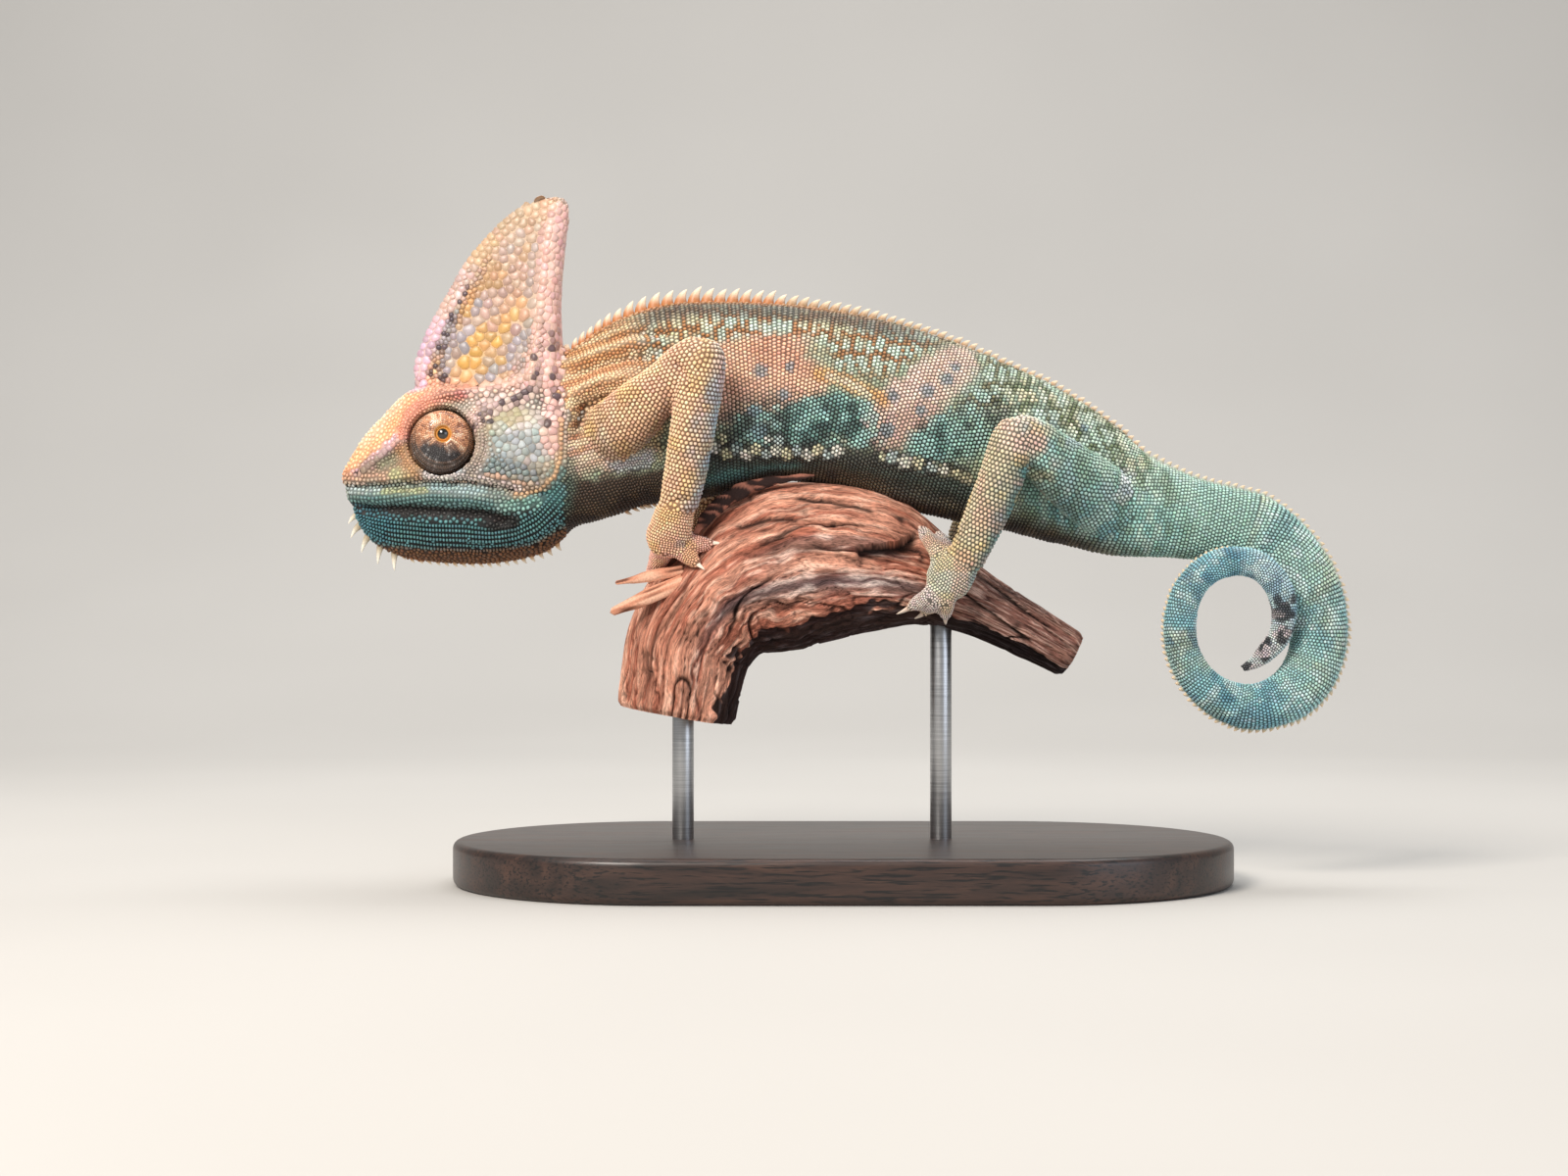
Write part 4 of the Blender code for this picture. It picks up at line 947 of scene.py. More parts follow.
# each mark: colour, half-width, softness, strength, path in the side view
trunkMarks = [
    ("e2ab7d", 15, 0.5, 0.9, [(-80, 130), (-62, 134)]),
    ("d8a673", 6, 0.5, 0.8, [(-74, 143), (-56, 150)]),
    ("f4b88c", 4, 0.5, 0.85, [(-74, 135), (-60, 138.5), (-48, 143)]),
    ("c4a58a", 6, 0.5, 0.8, [(-74, 124), (-64, 122)]),
    ("dcc2ae", 4.6, 0.5, 0.85, [(-75, 117), (-62, 118.4)]),
    ("ccd2de", 2.4, 0.5, 0.75, [(-61, 115), (-54, 116)]),
    ("3a2214", 5.4, 0.3, 0.95, [(-76, 104), (-62, 106.5), (-46, 108)]),
    ("b7b493", 6, 0.5, 0.9, [(-52, 153), (-40, 153.5), (-8, 151), (20, 145)]),
    ("d09a6a", 3.6, 0.5, 0.8, [(-60, 149), (-46, 150)]),
    ("cfae80", 3, 0.5, 0.6, [(-16, 149.5), (4, 146.5)]),
    ("c7b489", 4, 0.5, 0.7, [(-44, 148), (-20, 150)]),
    ("f9bf9f", 9, 0.28, 0.95, [(-34, 139), (-24, 142.5), (-11, 141)]),
    ("e2a184", 5, 0.4, 0.8, [(-21, 145.5), (-10, 143)]),
    ("c9a08c", 6.5, 0.45, 0.75, [(-30, 131), (-17, 129)]),
    ("a9b598", 7.5, 0.4, 0.9, [(-2, 146), (12, 144.5), (27, 139.5)]),
    ("6a928c", 5.4, 0.3, 0.95, [(-12, 125.6), (-2, 128.4), (6, 124)]),
    ("5a7f79", 4.6, 0.35, 0.85, [(-26, 124.5), (-8, 122)]),
    ("f2cfbf", 6.4, 0.28, 0.95, [(13, 127.5), (21, 134.5), (31, 141.5)]),
    ("c7a696", 4.6, 0.4, 0.8, [(11, 122), (22, 127.5)]),
    ("68928b", 5.6, 0.3, 0.95, [(24, 119.5), (34, 123.5), (40, 128)]),
    ("e2a765", 1.9, 0.6, 0.85, [(-6.5, 138.8), (0, 137.2), (6, 134), (11, 131.6)]),
    ("e9dcc0", 1.1, 0.6, 0.8, [(-4, 138.2), (2, 136.2), (6.5, 133.2)]),
    ("2b3b39", 4.6, 0.35, 0.9, [(-40, 113.5), (-14, 114.5), (14, 111.5), (34, 107.5)]),
    ("5c8a87", 3.4, 0.5, 0.85, [(-42, 106), (-30, 109.5), (-14, 111.5)]),
    ("f6d2a6", 1.3, 0.5, 0.85, [(-75.6, 124), (-73.4, 133), (-67.5, 136.8), (-58, 138)]),
    ("6a4024", 0.9, 0.5, 0.75, [(-73.2, 122), (-70.6, 130.6), (-64.5, 133.2)]),
    ("efc9a0", 1, 0.5, 0.7, [(-71.6, 119), (-68.6, 126.4), (-63.6, 129.4)]),
    ("5c7467", 2.6, 0.6, 0.7, [(-77, 99), (-76, 108), (-75.6, 115)]),
    ("39352c", 2.6, 0.5, 0.8, [(-36, 118.4), (-18, 117.8), (2, 117), (14, 115), (32, 112)]),
    ("c9c2a0", 1.2, 0.6, 0.7, [(24, 114), (34, 110.5)]),
    ("9cb9a6", 15, 0.4, 0.9, [(46, 128), (66, 116), (88, 104)]),
    ("a4c8bb", 18, 0.5, 0.95, [(94, 100), (112, 94)]),
    ("c3b896", 3.4, 0.5, 0.75, [(57, 127), (64, 128)]),
    ("8dbab2", 8, 0.5, 0.9, [(54, 110), (68, 102), (84, 97)]),
    ("7db3ba", 4, 0.5, 0.8, [(60, 102), (72, 97.5)]),
    ("f8fcfd", 2, 0.3, 1, [(77.4, 111.8), (76.4, 106.8)]),
    ("e8f0f0", 1, 0.4, 0.9, [(73.8, 106), (75.8, 104.6)]),
]
# blue-grey spots on the salmon patches: x, z, radius
flankSpots = [(-22.5, 139.6, 2), (-14.5, 140.6, 1.4), (13.3, 132.8, 1.8), (22.6, 134.3, 2),
              (27.9, 137.6, 1.9), (20.9, 129, 1.5), (11.6, 123.6, 2.1), (-23, 123.3, 2.2),
              (-24.2, 128.8, 1.8), (-16.2, 133.2, 1.5), (30.4, 141, 1.4), (57, 125, 1.4), (66, 124.4, 1.4)]
# pale rosettes along the side, each a few scales: x, z, radius
rosettes = [(-34.6 + 2.75 * k, 118 + 0.6 * (-1) ** k - 0.05 * k, 1.7 - 0.25 * (k % 3 == 2))
            for k in range(13)]
rosettes += [(-32.6, 121.3, 1.35), (-17.8, 120.9, 1.4), (-20.4, 121, 1.1)]
rosettes += [(10.2, 116.4, 1.3), (13, 116.4, 1.7), (16.4, 115, 2.1), (20.2, 114.8, 1.8), (23.6, 113.6, 1.5),
             (27, 113.2, 1.3), (30.4, 112.2, 1.2)]
headGrounds = [
    ("c3b8ad", 9, 0.5, 0.9, [(-96, 128), (-82, 126)]),
    ("a49d72", 3.4, 0.5, 0.75, [(-97, 124), (-90, 127.5)]),
    ("a3aeb0", 5, 0.5, 0.85, [(-94, 119), (-84, 120)]),
    ("6f7f82", 4.2, 0.5, 0.85, [(-99, 113.4), (-86, 111)]),
]
headMarks = [
    ("fcc193", 7.5, 0.4, 0.97, [(-137, 113), (-127, 124.5), (-117, 135)]),
    ("ffdcba", 2.2, 0.5, 0.7, [(-131, 122), (-122, 132)]),
    ("e09a74", 2.6, 0.5, 0.85, [(-138, 111.4), (-135.6, 111.4)]),
    ("dfb9c4", 1.9, 0.4, 0.95, canthalCrest),
    ("96806c", 3.8, 0.45, 0.9, [(-129, 112.4), (-121, 115.6)]),
    ("8f9076", 1.6, 0.5, 0.7, [(-126, 114.8), (-120, 117.2)]),
    ("d2ab90", 1.7, 0.5, 0.85, [(-136, 110.4), (-122, 110.6), (-110, 111.8), (-94, 110.4), (-84, 107.8)]),
    ("c0c493", 1.8, 0.5, 0.75, [(-122, 111.8), (-117, 112.6)]),
    ("b9c9cf", 1.8, 0.5, 0.85, [(-113, 112.6), (-106, 112), (-99, 112.6)]),
    ("e8d9d2", 0.9, 0.5, 0.8, [(-114, 111.4), (-102, 111.2), (-88, 108.4)]),
    ("b28a6c", 2.4, 0.5, 0.6, [(-120, 118), (-118, 112.8)]),
    ("487a7e", 7, 0.35, 0.97, [(-134, 99), (-112, 96.6), (-90, 97), (-80, 102)]),
    ("8b9a93", 3.2, 0.4, 0.95, [(-136, 106.4), (-112, 107), (-94, 105)]),
    ("b7b98a", 1.5, 0.5, 0.75, [(-125, 106.6), (-114, 107)]),
    ("b3c4c2", 1, 0.5, 0.75, [(-135, 108), (-127, 107.6)]),
    ("a9c3c4", 1.2, 0.5, 0.7, [(-112, 108.6), (-98, 107.4)]),
    ("5f8583", 1.7, 0.5, 0.9, [(-135, 104.6), (-112, 104.8), (-96, 103.2)]),
    # painted shadow along the groove under the lower lip
    ("241a17", 1.55, 0.35, 0.96, jawGroove),
    ("447a86", 4.6, 0.45, 0.8, [(-133, 99.4), (-127, 97.4)]),
    ("527f7e", 3.2, 0.5, 0.85, [(-86, 99), (-79, 105), (-77, 112)]),
    ("86aca0", 2, 0.5, 0.8, [(-92, 103), (-84, 104.2)]),
    # painted shadow in the short deep groove at the back of the jaw
    ("231915", 2.2, 0.3, 0.95, [(-96, 98.7), (-90.2, 99)]),
    # the keel's own orange-brown, darkened as painted shade on the underside of the throat
    ("6e431f", 3.4, 0.22, 0.98,
     [(-131, 90.4), (-126, 89.2), (-116, 88.4), (-96, 88.2), (-84, 89.8), (-73, 95.6)]),
    ("b8713a", 1.3, 0.5, 0.7, [(-126, 88.6), (-108, 86.4), (-90, 86.6)]),
    ("c08f66", 2.2, 0.4, 0.6, [(-120.5, 120), (-116, 112.8)]),
    ("e29880", 2, 0.4, 0.95, browCrest),
    ("c4566a", 1.2, 0.5, 0.6, [(-105, 133.8), (-101, 135)]),
    ("b39f90", 2.8, 0.5, 0.85, [(-99.8, 128), (-98.6, 120), (-100.6, 113.6)]),
    ("e0a385", 1, 0.5, 0.7, [(-101, 126), (-101, 121)]),
    ("dca08a", 2.6, 0.5, 0.7, [(-113, 135.4), (-103, 136.4)]),
    ("d4b4ac", 2.6, 0.4, 0.85, templeCrest),
    ("dcb3a6", 1.8, 0.4, 0.85, sideCrest),
    ("e3b5ac", 2.9, 0.3, 0.95, rearStrip),
    ("cfa276", 0.9, 0.4, 0.8, cheekRim),
    ("d3aebb", 3.4, 0.3, 0.95, [(-117.6, 137.5), (-116.6, 146), (-112.4, 155.4)]),
    ("d9b8ae", 3, 0.4, 0.8, [(-111, 158), (-104, 168)]),
    ("c6a684", 3.4, 0.5, 0.7, [(-101, 172.4), (-92, 181), (-83, 186.4)]),
]
darkSpots = [(-105.3, 158.6), (-107.4, 155.2), (-109.4, 150.2), (-110.6, 147), (-111.4, 142.4),
             (-112.8, 140.2), (-109.8, 138.6), (-100.6, 124.6), (-98.6, 127.8), (-96.4, 130),
             (-92.6, 131.4), (-89.1, 132.6), (-86.2, 134.4), (-84, 139.4), (-83.5, 143.6), (-79.6, 147.2),
             (-79, 139.2), (-78, 134.2), (-81, 131.4), (-80.8, 126.6), (-79.4, 151.6), (-103.4, 162.6),
             (-96.8, 126.4)]


tailTones = ((0, "accfc3"), (3, "a6d2cd"), (7, "8cc2c9"), (12, "88bdc8"), (16, "b4cfd6"), (19, "ccd0cf"))
rumpCell = (2.6, 4, 4.4)  # mm


def plain(hexText, places):
    return np.broadcast_to(linear(hexText), (len(places), 3))


def mixed(first, second, share):
    # from one colour to another, by each place's share
    return blendTo(plain(first, share), linear(second), share)


def layered(colour, *layers):
    # lays colours over one another; each has its share for each place
    for hexText, share in layers:
        colour = blendTo(colour, linear(hexText), share)
    return colour


def nearPath(points, path, width, low=0.8, high=1.2):
    # 1 along a path of the side view, 0 beyond its width
    return 1 - ease(low, high, pathDistance(points[:, 0], points[:, 2], path)[0] / width)


def painted(colour, marks, points, edge):
    # lays the marks over a colour; edge makes their outlines ragged
    for hexText, width, soft, strength, path in marks:
        far, _ = pathDistance(points[:, 0], points[:, 2], path)
        share = strength * (1 - ease(1 - soft, 1 + soft, far / width * edge))
        colour = blendTo(colour, linear(hexText), share)
    return colour


def fineEdge(points, ragged):
    return 1 + ragged * noise(points, 2.2, 23)


def grounded(hexText, marks, points):
    # broad marks over a plain ground, with ragged outlines
    edge = 1 + 0.22 * noise(points, 3.2, 21) + 0.22 * 0.7 * noise(points, 1.5, 22)
    return painted(plain(hexText, points), marks, points, edge)


def netLines(across, up, seed):
    # how near each place is to a border of an uneven net of cells, 1 on the border, and which cell it is in
    low, high = np.array([across.min(), up.min()]) - 2, np.array([across.max(), up.max()]) + 2
    dice = np.random.default_rng(seed)
    gx, gy = (g.ravel() for g in np.meshgrid(np.arange(low[0], high[0]), np.arange(low[1], high[1])))
    gx = gx + 0.5 * (np.floor(gy - low[1]) % 2)
    cells = [gx + dice.uniform(-0.3, 0.3, len(gx)), gy + dice.uniform(-0.3, 0.3, len(gx)), gx * 0]
    tree = treeOf(np.stack(cells, axis=1))
    found = [tree.find_n(Vector((a, b, 0.0)), 2) for a, b in zip(across, up)]
    gap = np.array([two[2] - one[2] for one, two in found])
    return ease(0.34, 0.10, gap), np.array([one[1] for one, _ in found])


def spotShare(points, spots):
    share = np.zeros(len(points))
    for x, z, radius in spots:
        far = np.hypot(points[:, 0] - x, points[:, 2] - z)
        share = np.maximum(share, 1 - ease(0.65, 1.35, far / radius))
    return share


salmonPatches = ([(-34, 139), (-24, 141), (-11, 141)], [(13, 127.5), (21, 134.5), (31, 141.5)])
darkPatches = ([(-26, 124), (-4, 127), (5, 125)], [(24, 119.5), (40, 127)])


def trunkColour(scales):
    # the colour of each scale, and of the skin between them
    points, uv = scales["place"], scales["uv"]
    x, z = points[:, 0], points[:, 2]
    rise = np.cos(uv[:, 1] * 2 * math.pi)
    colour = grounded("9aa389", trunkMarks, points)
    # paler blotches set in a rusty net over the upper flank, drawn out up and down
    upper = ease(0.12, 0.5, rise) * ease(-62, -48, x) * ease(98, 70, x)
    upper *= 1 - 0.85 * np.maximum(*(nearPath(points, path, 8.5) for path in salmonPatches))
    lines, cell = netLines((x + 0.12 * z + 0.7 * noise(points, 5, 33)) / 3.3,
                           (z + 0.05 * x + 0.8 * noise(points, 4, 32)) / 5.4, 31)
    pale = mixed("c4d9ca", "dad2ae", ease(-0.3, 0.5, noise(points, 9, 34)))
    rust = mixed("a86c36", "66704e", ease(20, 50, x))
    bright = np.random.default_rng(30).random(cell.max() + 1)[cell]
    colour = blendTo(colour, pale * (0.82 + 0.3 * bright)[:, None], upper * (1 - lines) * 0.88)
    colour = blendTo(colour, rust * 0.9, upper * lines * 0.9)
    # the neck's fine stripes, and dark nets with blue-green flecks low on the flank
    neck = ease(-50, -60, x) * ease(112, 118, z)
    wave = np.sin((z - 0.32 * x) / 2.5 * 2 * math.pi / 1.6 + 1.6 * noise(points, 6, 35))
    net = np.maximum(*(nearPath(points, path, 7.5, 0.7) for path in darkPatches))
    fleck = noise(points, (2.6, 3, 2.4), 36)
    colour = layered(
        colour,
        ("b06a38", neck * ease(0.1, 0.9, wave) * 0.5),
        ("f3dfb9", neck * ease(0.2, 0.9, -wave) * 0.5),
        ("1f2624", net * ease(0.0, -0.4, fleck) * 0.62),
        ("a3cdc4", net * ease(0.05, 0.4, fleck) * 0.7),
        ("78909a", spotShare(points, flankSpots) * 0.75))
    for number, (sx, sz, size) in enumerate(rosettes):
        far = np.hypot(x - sx, z - sz) * (1 + 0.12 * noise(points, 1.6, 39))
        heart = ("e2dfd0", "d6d0ac", "b5c4bf")[number % 3]
        colour = layered(colour, ("17130f", np.exp(-(((far - size - 0.35) / 0.5) ** 2)) * 0.6),
                         (heart, ease(size * 1.08, size * 0.8, far) * 0.85))
    rump = ease(38, 56, x) * ease(106, 84, x)
    mottle = noise(points, rumpCell, 37)
    spine = ease(0.955, 0.985, rise)
    colour = layered(
        colour,
        ("c2d8c8", rump * ease(0.05, 0.5, mottle) * 0.6),
        ("6a7a54", rump * ease(-0.1, -0.5, mottle) * 0.5),
        ("66594a", ease(0.74, 0.88, rise) * ease(-62, -50, x) * ease(40, 10, x) * 0.85),
        ("a8754c", spine * ease(20, -10, x) * 0.8),
        ("8a7a62", spine * ease(-10, 20, x) * 0.5))
    # painted shade: the underside is laid over in dark brown, and the gaps between its scales are darkened
    # there too
    undersideShade = (ease(np.interp(x, [-44, -36, -14, -4], [-0.62, -0.84, -0.84, -0.62]), -0.95, rise)
             * ease(92, 60, x))
    colour = blendTo(colour, mixed("30231a", "4c3c28", ease(-0.2, 0.6, noise(points, 3, 38))), undersideShade)
    gap = 0.24 - 0.18 * net - 0.08 * undersideShade + 0.04 * rump + 0.16 * neck
    return colour, colour * gap[:, None] + linear("120d0a") * 0.3


def tailColour(scales):
    points, uv = scales["place"], scales["uv"]
    run = uv[:, 0] * (tailEnd - trunkEnd)
    rise = np.cos(uv[:, 1] * 2 * math.pi)
    lengthwise = noise(np.stack([run, run * 0, run * 0], axis=1), 0.75, 41)
    band = lengthwise + 0.4 * noise(points, 4, 42)
    patch = noise(points, 11, 47) + 0.35 * noise(points, 3, 49)
    colour = layered(
        plain("9cc0b4", points),
        *((hexText, ease(start - 1.0, start + 0.6, run)) for start, hexText in tailTones),
        ("c6ba8c", ease(0.3, 0.8, band) * 0.16 * ease(18, 14, run)),
        ("5f8f98", ease(-0.2, -0.6, band) * 0.5 * ease(20, 15, run)),
        # pale flecks, painted as highlights on the tail's scales
        ("daeeea", ease(0.1, 0.6, noise(points, 1.8, 43)) * 0.55),
        ("c9bd86", ease(-0.1, 0.6, patch) * 0.38 * ease(17, 12, run)),
        ("3d6f8c", ease(-0.12, -0.5, noise(points, (2.4, 4, 3.0), 48)) * 0.5 * ease(4, 9, run)),
        ("7fb6c4", ease(0.5, 0.95, rise) * 0.35 * ease(2, 6, run)),
        ("26242a", ease(16.4, 18.0, run) * ease(0.0, 0.22, noise(points, 2.3, 44)) * 0.92),
        ("dccfd0", ease(17.5, 19.5, run) * ease(0.0, -0.25, noise(points, 1.8, 45)) * 0.85))
    return colour, colour * 0.20 + linear("1a2426") * 0.15


def headColour(scales):
    points = scales["place"]
    x, z = points[:, 0], points[:, 2]
    colour = grounded("bda98f", headGrounds, points)
    # casque: gold, grey-blue and pink plates in streaks that run up it
    streak = np.stack([(x + 94) * 0.93 - (z - 150) * 0.36, points[:, 1] * 0.2, (z - 150) * 0.34], axis=1)
    tone = noise(streak, 2.9, 51)
    fine = cellValue(np.floor(points * 37), 52) * 2 - 1
    gold = 1 - ease(0.5, 1.2, np.hypot((x + 100) / 10.5, (z - 143) / 13))
    plate = layered(
        mixed("b7998c", "c89658", ease(0.0, 0.5, tone + 0.14 * fine) * 0.8),
        ("96939a", ease(-0.05, -0.45, tone + 0.14 * fine) * 0.75),
        ("cf9f50", gold * ease(-0.5, 0.1, tone + 0.3 * fine) * 0.8),
        ("a3a3a4", ease(-90, -86, x - (z - 150) * 0.09) * ease(-0.3, 0.3, fine) * 0.6),
        ("bc9c88", ease(158, 170, z) * 0.45))
    onCasque = ease(134.5, 137.5, z)
    colour = painted(blendTo(colour, plate, onCasque), headMarks, points, fineEdge(points, 0.12))
    broken = cellValue(np.floor(points * 11), 53) > 0.28
    spots = spotShare(points, [(*spot, 1.4) for spot in darkSpots]) * broken
    colour = layered(colour, ("41323c", spots * 0.9))
    # the gaps are pale on the casque and cheek, and dark elsewhere
    cheek = nearPath(points, [(-96, 124), (-84, 118)], 9)
    # near the jaw's groove the gaps stay dark, as painted shadow
    grooved = 1 - ease(1.4, 0.6, pathDistance(x, z, jawGroove)[0])
    rim = np.clip(onCasque * 0.95 + cheek * 0.45, 0, 1) * grooved
    pouch = nearPath(points, [(-132, 98), (-100, 95.4), (-80, 98)], 6, 0.7)
    snout = ease(-108, -114, x) * ease(111.5, 113.5, z)
    dark = colour * (0.42 - 0.39 * pouch + 0.30 * snout)[:, None] + linear("17120f") * 0.08
    paleRim = colour * 0.62 + linear("f2d8b8") * 0.36
    return colour, blendTo(dark, paleRim, rim)


# each part's own colours, laid warm and light on the front edge that faces the light, and blue-grey on the
# rear edge as painted shade
limbLitAndShadedTones = {  # front edge and rear edge of each part
    "fore_upper": ("ffcfa6", "d9bca6"), "fore_lower": ("f4cba2", "a2b3bc"),
    "fore_palm": ("ffc9a0", "f2c2a2"), "fore_toe": ("f2b8a4", "e2ac9c"),
    "hind_upper": ("a2cabd", "7cbcc0"), "hind_lower": ("d2c2a2", "5d8886"),
    "hind_palm": ("d6d4c0", "b3bcae"), "hind_toe": ("e6d3cb", "cdbdb6"),
}


def limbColour(scales):
    points, normals, chart = (scales[key] for key in ("place", "normal", "chart"))
    colour = np.zeros((len(points), 3))
    for number, name in enumerate(chartNames):
        rows = np.nonzero(chart == number)[0]
        if partOfChart[number] == 2 and len(rows):
            pair, _, part = name.split("_")
            # the tone follows which way the surface faces: the front lit, the rear in painted shade
            turn = ease(-0.15, 1.0, normals[rows, 0] + 0.22 * noise(points[rows], 3, 61))
            colour[rows] = mixed(*limbLitAndShadedTones[f"{pair}_{part.rstrip('12345')}"], turn)
    x, z = points[:, 0], points[:, 2]
    # the trunk's own colours reach down onto the tops of the limbs
    mottle = noise(points, rumpCell, 37)
    body = layered(grounded("9aa389", trunkMarks, points), ("6a7a54", ease(0.0, -0.4, mottle) * 0.45),
                   ("c2d8c8", ease(0.05, 0.5, mottle) * 0.5))
    colour = blendTo(colour, body, ease(51, 60, x) * 0.92)
    colour = blendTo(colour, body, ease(-58, -66, x) * 0.6)
    clear = ease(62, 52, x)
    knee = 1 - ease(0.6, 1.2, np.hypot(x - 47.5, z - 121.5) / 7)
    elbow = 1 - ease(0.6, 1.2, np.hypot(x + 36.5, z - 143.5) / 6.5)
    colour = layered(
        colour, ("ecd0ba", knee * 0.8), ("dcc0a6", elbow * 0.6),
        ("e0b55c", ease(0.1, 0.5, noise(points, 4.6, 62)) * 0.36 * clear),
        ("e0a898", ease(0.1, 0.5, noise(points, 5.2, 63)) * 0.40 * clear),
        # painted shade: blue-grey patches on the side facing back
        ("8b9da6", ease(0.15, 0.5, noise(points, 4, 64)) * ease(-0.2, 0.5, normals[:, 0]) * 0.5),
        # painted shade: darker brown where the limb faces down
        ("4a3a30", ease(0.2, 0.8, -normals[:, 2]) * ease(90, 110, z) * 0.5))
    return colour, colour * 0.17 + mixed("9a6238", "4c5a4c", ease(-20, 20, x)) * 0.26


part = partOfChart[roots["chart"]]
colours, gapColours = np.zeros((len(part), 3)), np.zeros((len(part), 3))
for rows, paint in ((roots["chart"] == 0, trunkColour), (roots["chart"] == 1, tailColour),
                    (part == 1, headColour), (part == 2, limbColour)):
    colours[rows], gapColours[rows] = paint({key: value[rows] for key, value in roots.items()})
dice = np.random.default_rng(5)
colours *= 1.07 * (1 + 0.12 * dice.standard_normal(len(part)))[:, None].clip(0.65, 1.4)
roots["colour"] = np.clip(colours * (1 + 0.03 * dice.standard_normal(colours.shape)), 0.002, 0.95)
roots["gapColour"] = gapColours


print("the coat of scales")
# levels of a dome: share of its reach, lift, lean, how far its colour is the scale's own
coat = {"height": 0.30, "plateHeight": 0.095, "smallHeadHeight": 0.34, "pouchHeight": 0.62, "patch": 0.0015,
        "loose": 0.10, "levels": ((0.97, -0.22, 0.0, 0.0), (0.82, 0.36, 0.02, 0.64), (0.50, 0.87, 0.08, 1.0)),
        "plateLevels": ((1.03, -0.12, 0.0, 0.0), (0.965, 0.34, 0.0, 0.15), (0.87, 0.86, 0.01, 1.0))}


def lying(way, normal):
    # the part of a direction that lies in the skin
    return unit(way - normal * (way * normal).sum(axis=1)[:, None])


size = roots["size"]
flat = np.where((part == 1) & (size > 1.55), coat["plateHeight"], coat["height"])
flat = np.where((part == 1) & (size < 1.3), coat["smallHeadHeight"], flat)
flat = np.where(roots["fixed"] & (size == pouchSize), coat["pouchHeight"], flat)
roots["high"] = size * flat * (1 + 0.16 * np.random.default_rng(12).standard_normal(len(flat)).clip(-2, 2))
roots["near"] = neighboursOf(roots["place"], 9)
# scales lean back along the body
_, tangent, _ = backboneAt(backboneRow(roots["chart"], roots["uv"], 4))
roots["lie"] = lying(np.where((part == 2)[:, None], np.array([[0.2, 0, -1]]), tangent), roots["normal"])
rects = np.array([lengths[name]["rect"] for name in chartNames])[roots["chart"]]
roots["unwrap"] = rects[:, :2] + rects[:, 2:] * roots["uv"]


def scalePiece(name, scales, rows, sides, plates=False):
    # one joined mesh of domes, each filling its own cell between its neighbours
    p, n, t, size, high = (scales[key][rows] for key in ("place", "normal", "lie", "size", "high"))
    near, unwrap = scales["near"][rows], scales["unwrap"][rows]
    rimShade, topShade = scales["gapColour"][rows], scales["colour"][rows]
    b = np.cross(n, t)
    offset = scales["place"][near] - p[:, None]
    ox, oy, oz = ((offset * axis[:, None]).sum(axis=2) for axis in (t, b, n))
    length = np.maximum(np.hypot(ox, oy), 0.05)
    other = scales["size"][near]
    reach = length / 2 * np.clip(1 + 0.6 * (size[:, None] - other) / (size[:, None] + other), 0.7, 1.3)
    facing = (scales["normal"][near] * n[:, None]).sum(axis=2) > 0.1
    reach = np.where(facing, reach, 9.0)
    turn = np.random.default_rng(9).random(len(size)) * 2 * math.pi
    row = np.arange(len(size))
    rings = []
    for k in range(sides):
        a = turn + 2 * math.pi * k / sides
        c, s = np.cos(a), np.sin(a)
        limit = reach / np.maximum((ox * c[:, None] + oy * s[:, None]) / length, 0.12)
        pick = limit.argmin(axis=1)
        radius = np.minimum(limit[row, pick], size * (0.74 if plates else 0.66))
        drop = np.clip(oz[row, pick] * (radius / length[row, pick]) ** 2, -0.5 * size, 0.35 * size)
        rings.append((c, s, radius, drop))
    levels = coat["plateLevels"] if plates else coat["levels"]
    loose = 1 - (0 if plates else coat["loose"]) * np.random.default_rng(10).random(len(size))
    points, tint, patch = [], [], []
    for share, lift, lean, bright in levels:
        for c, s, radius, drop in rings:
            r = radius * share * loose
            up = drop * share**2 + (high * lift if lift > 0 else lift)
            points.append(p + t * (c * r + lean * size)[:, None] + b * (s * r)[:, None] + n * up[:, None])
            # painted light: a dome's colour is darkened on its outer ring and brightened toward its apex, a
            # highlight on its top
            tint.append(rimShade * (1 - bright) + topShade * bright * (0.88 if share > 0.6 else 1.08))
            patch.append(unwrap + np.stack([c, s], axis=1) * coat["patch"] * share)
    # the apex is brightened most, as a painted highlight
    points.append(p + t * (0.10 * size)[:, None] + n * high[:, None])
    tint.append(topShade * (1.05 if plates else 1.18))
    patch.append(unwrap)
    count, wide = len(size), len(levels) * sides + 1
    points, tint, patch = (np.stack(a, axis=1).reshape(count * wide, -1) for a in (points, tint, patch))
    faces = []
    for level in range(len(levels)):
        for k in range(sides):
            a, c = level * sides + k, level * sides + (k + 1) % sides
            isTop = level == len(levels) - 1
            faces += [(a, c, wide - 1)] if isTop else [(a, c, c + sides), (a, c + sides, a + sides)]
    faces = (np.arange(count)[:, None, None] * wide + np.array(faces)[None]).reshape(-1, 3)
    mesh = meshOf(name, points, faces)
    setColour(mesh, np.clip(tint, 0, 1))
    setUv(mesh, patch)
    obj = objectFrom(name, mesh)
    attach(obj, "root")
    return obj


run = backboneRow(roots["chart"], roots["uv"], -1)
onCasque = (part == 1) & (roots["place"][:, 2] > 135.5)
restOfHead = (part == 1) & ~onCasque
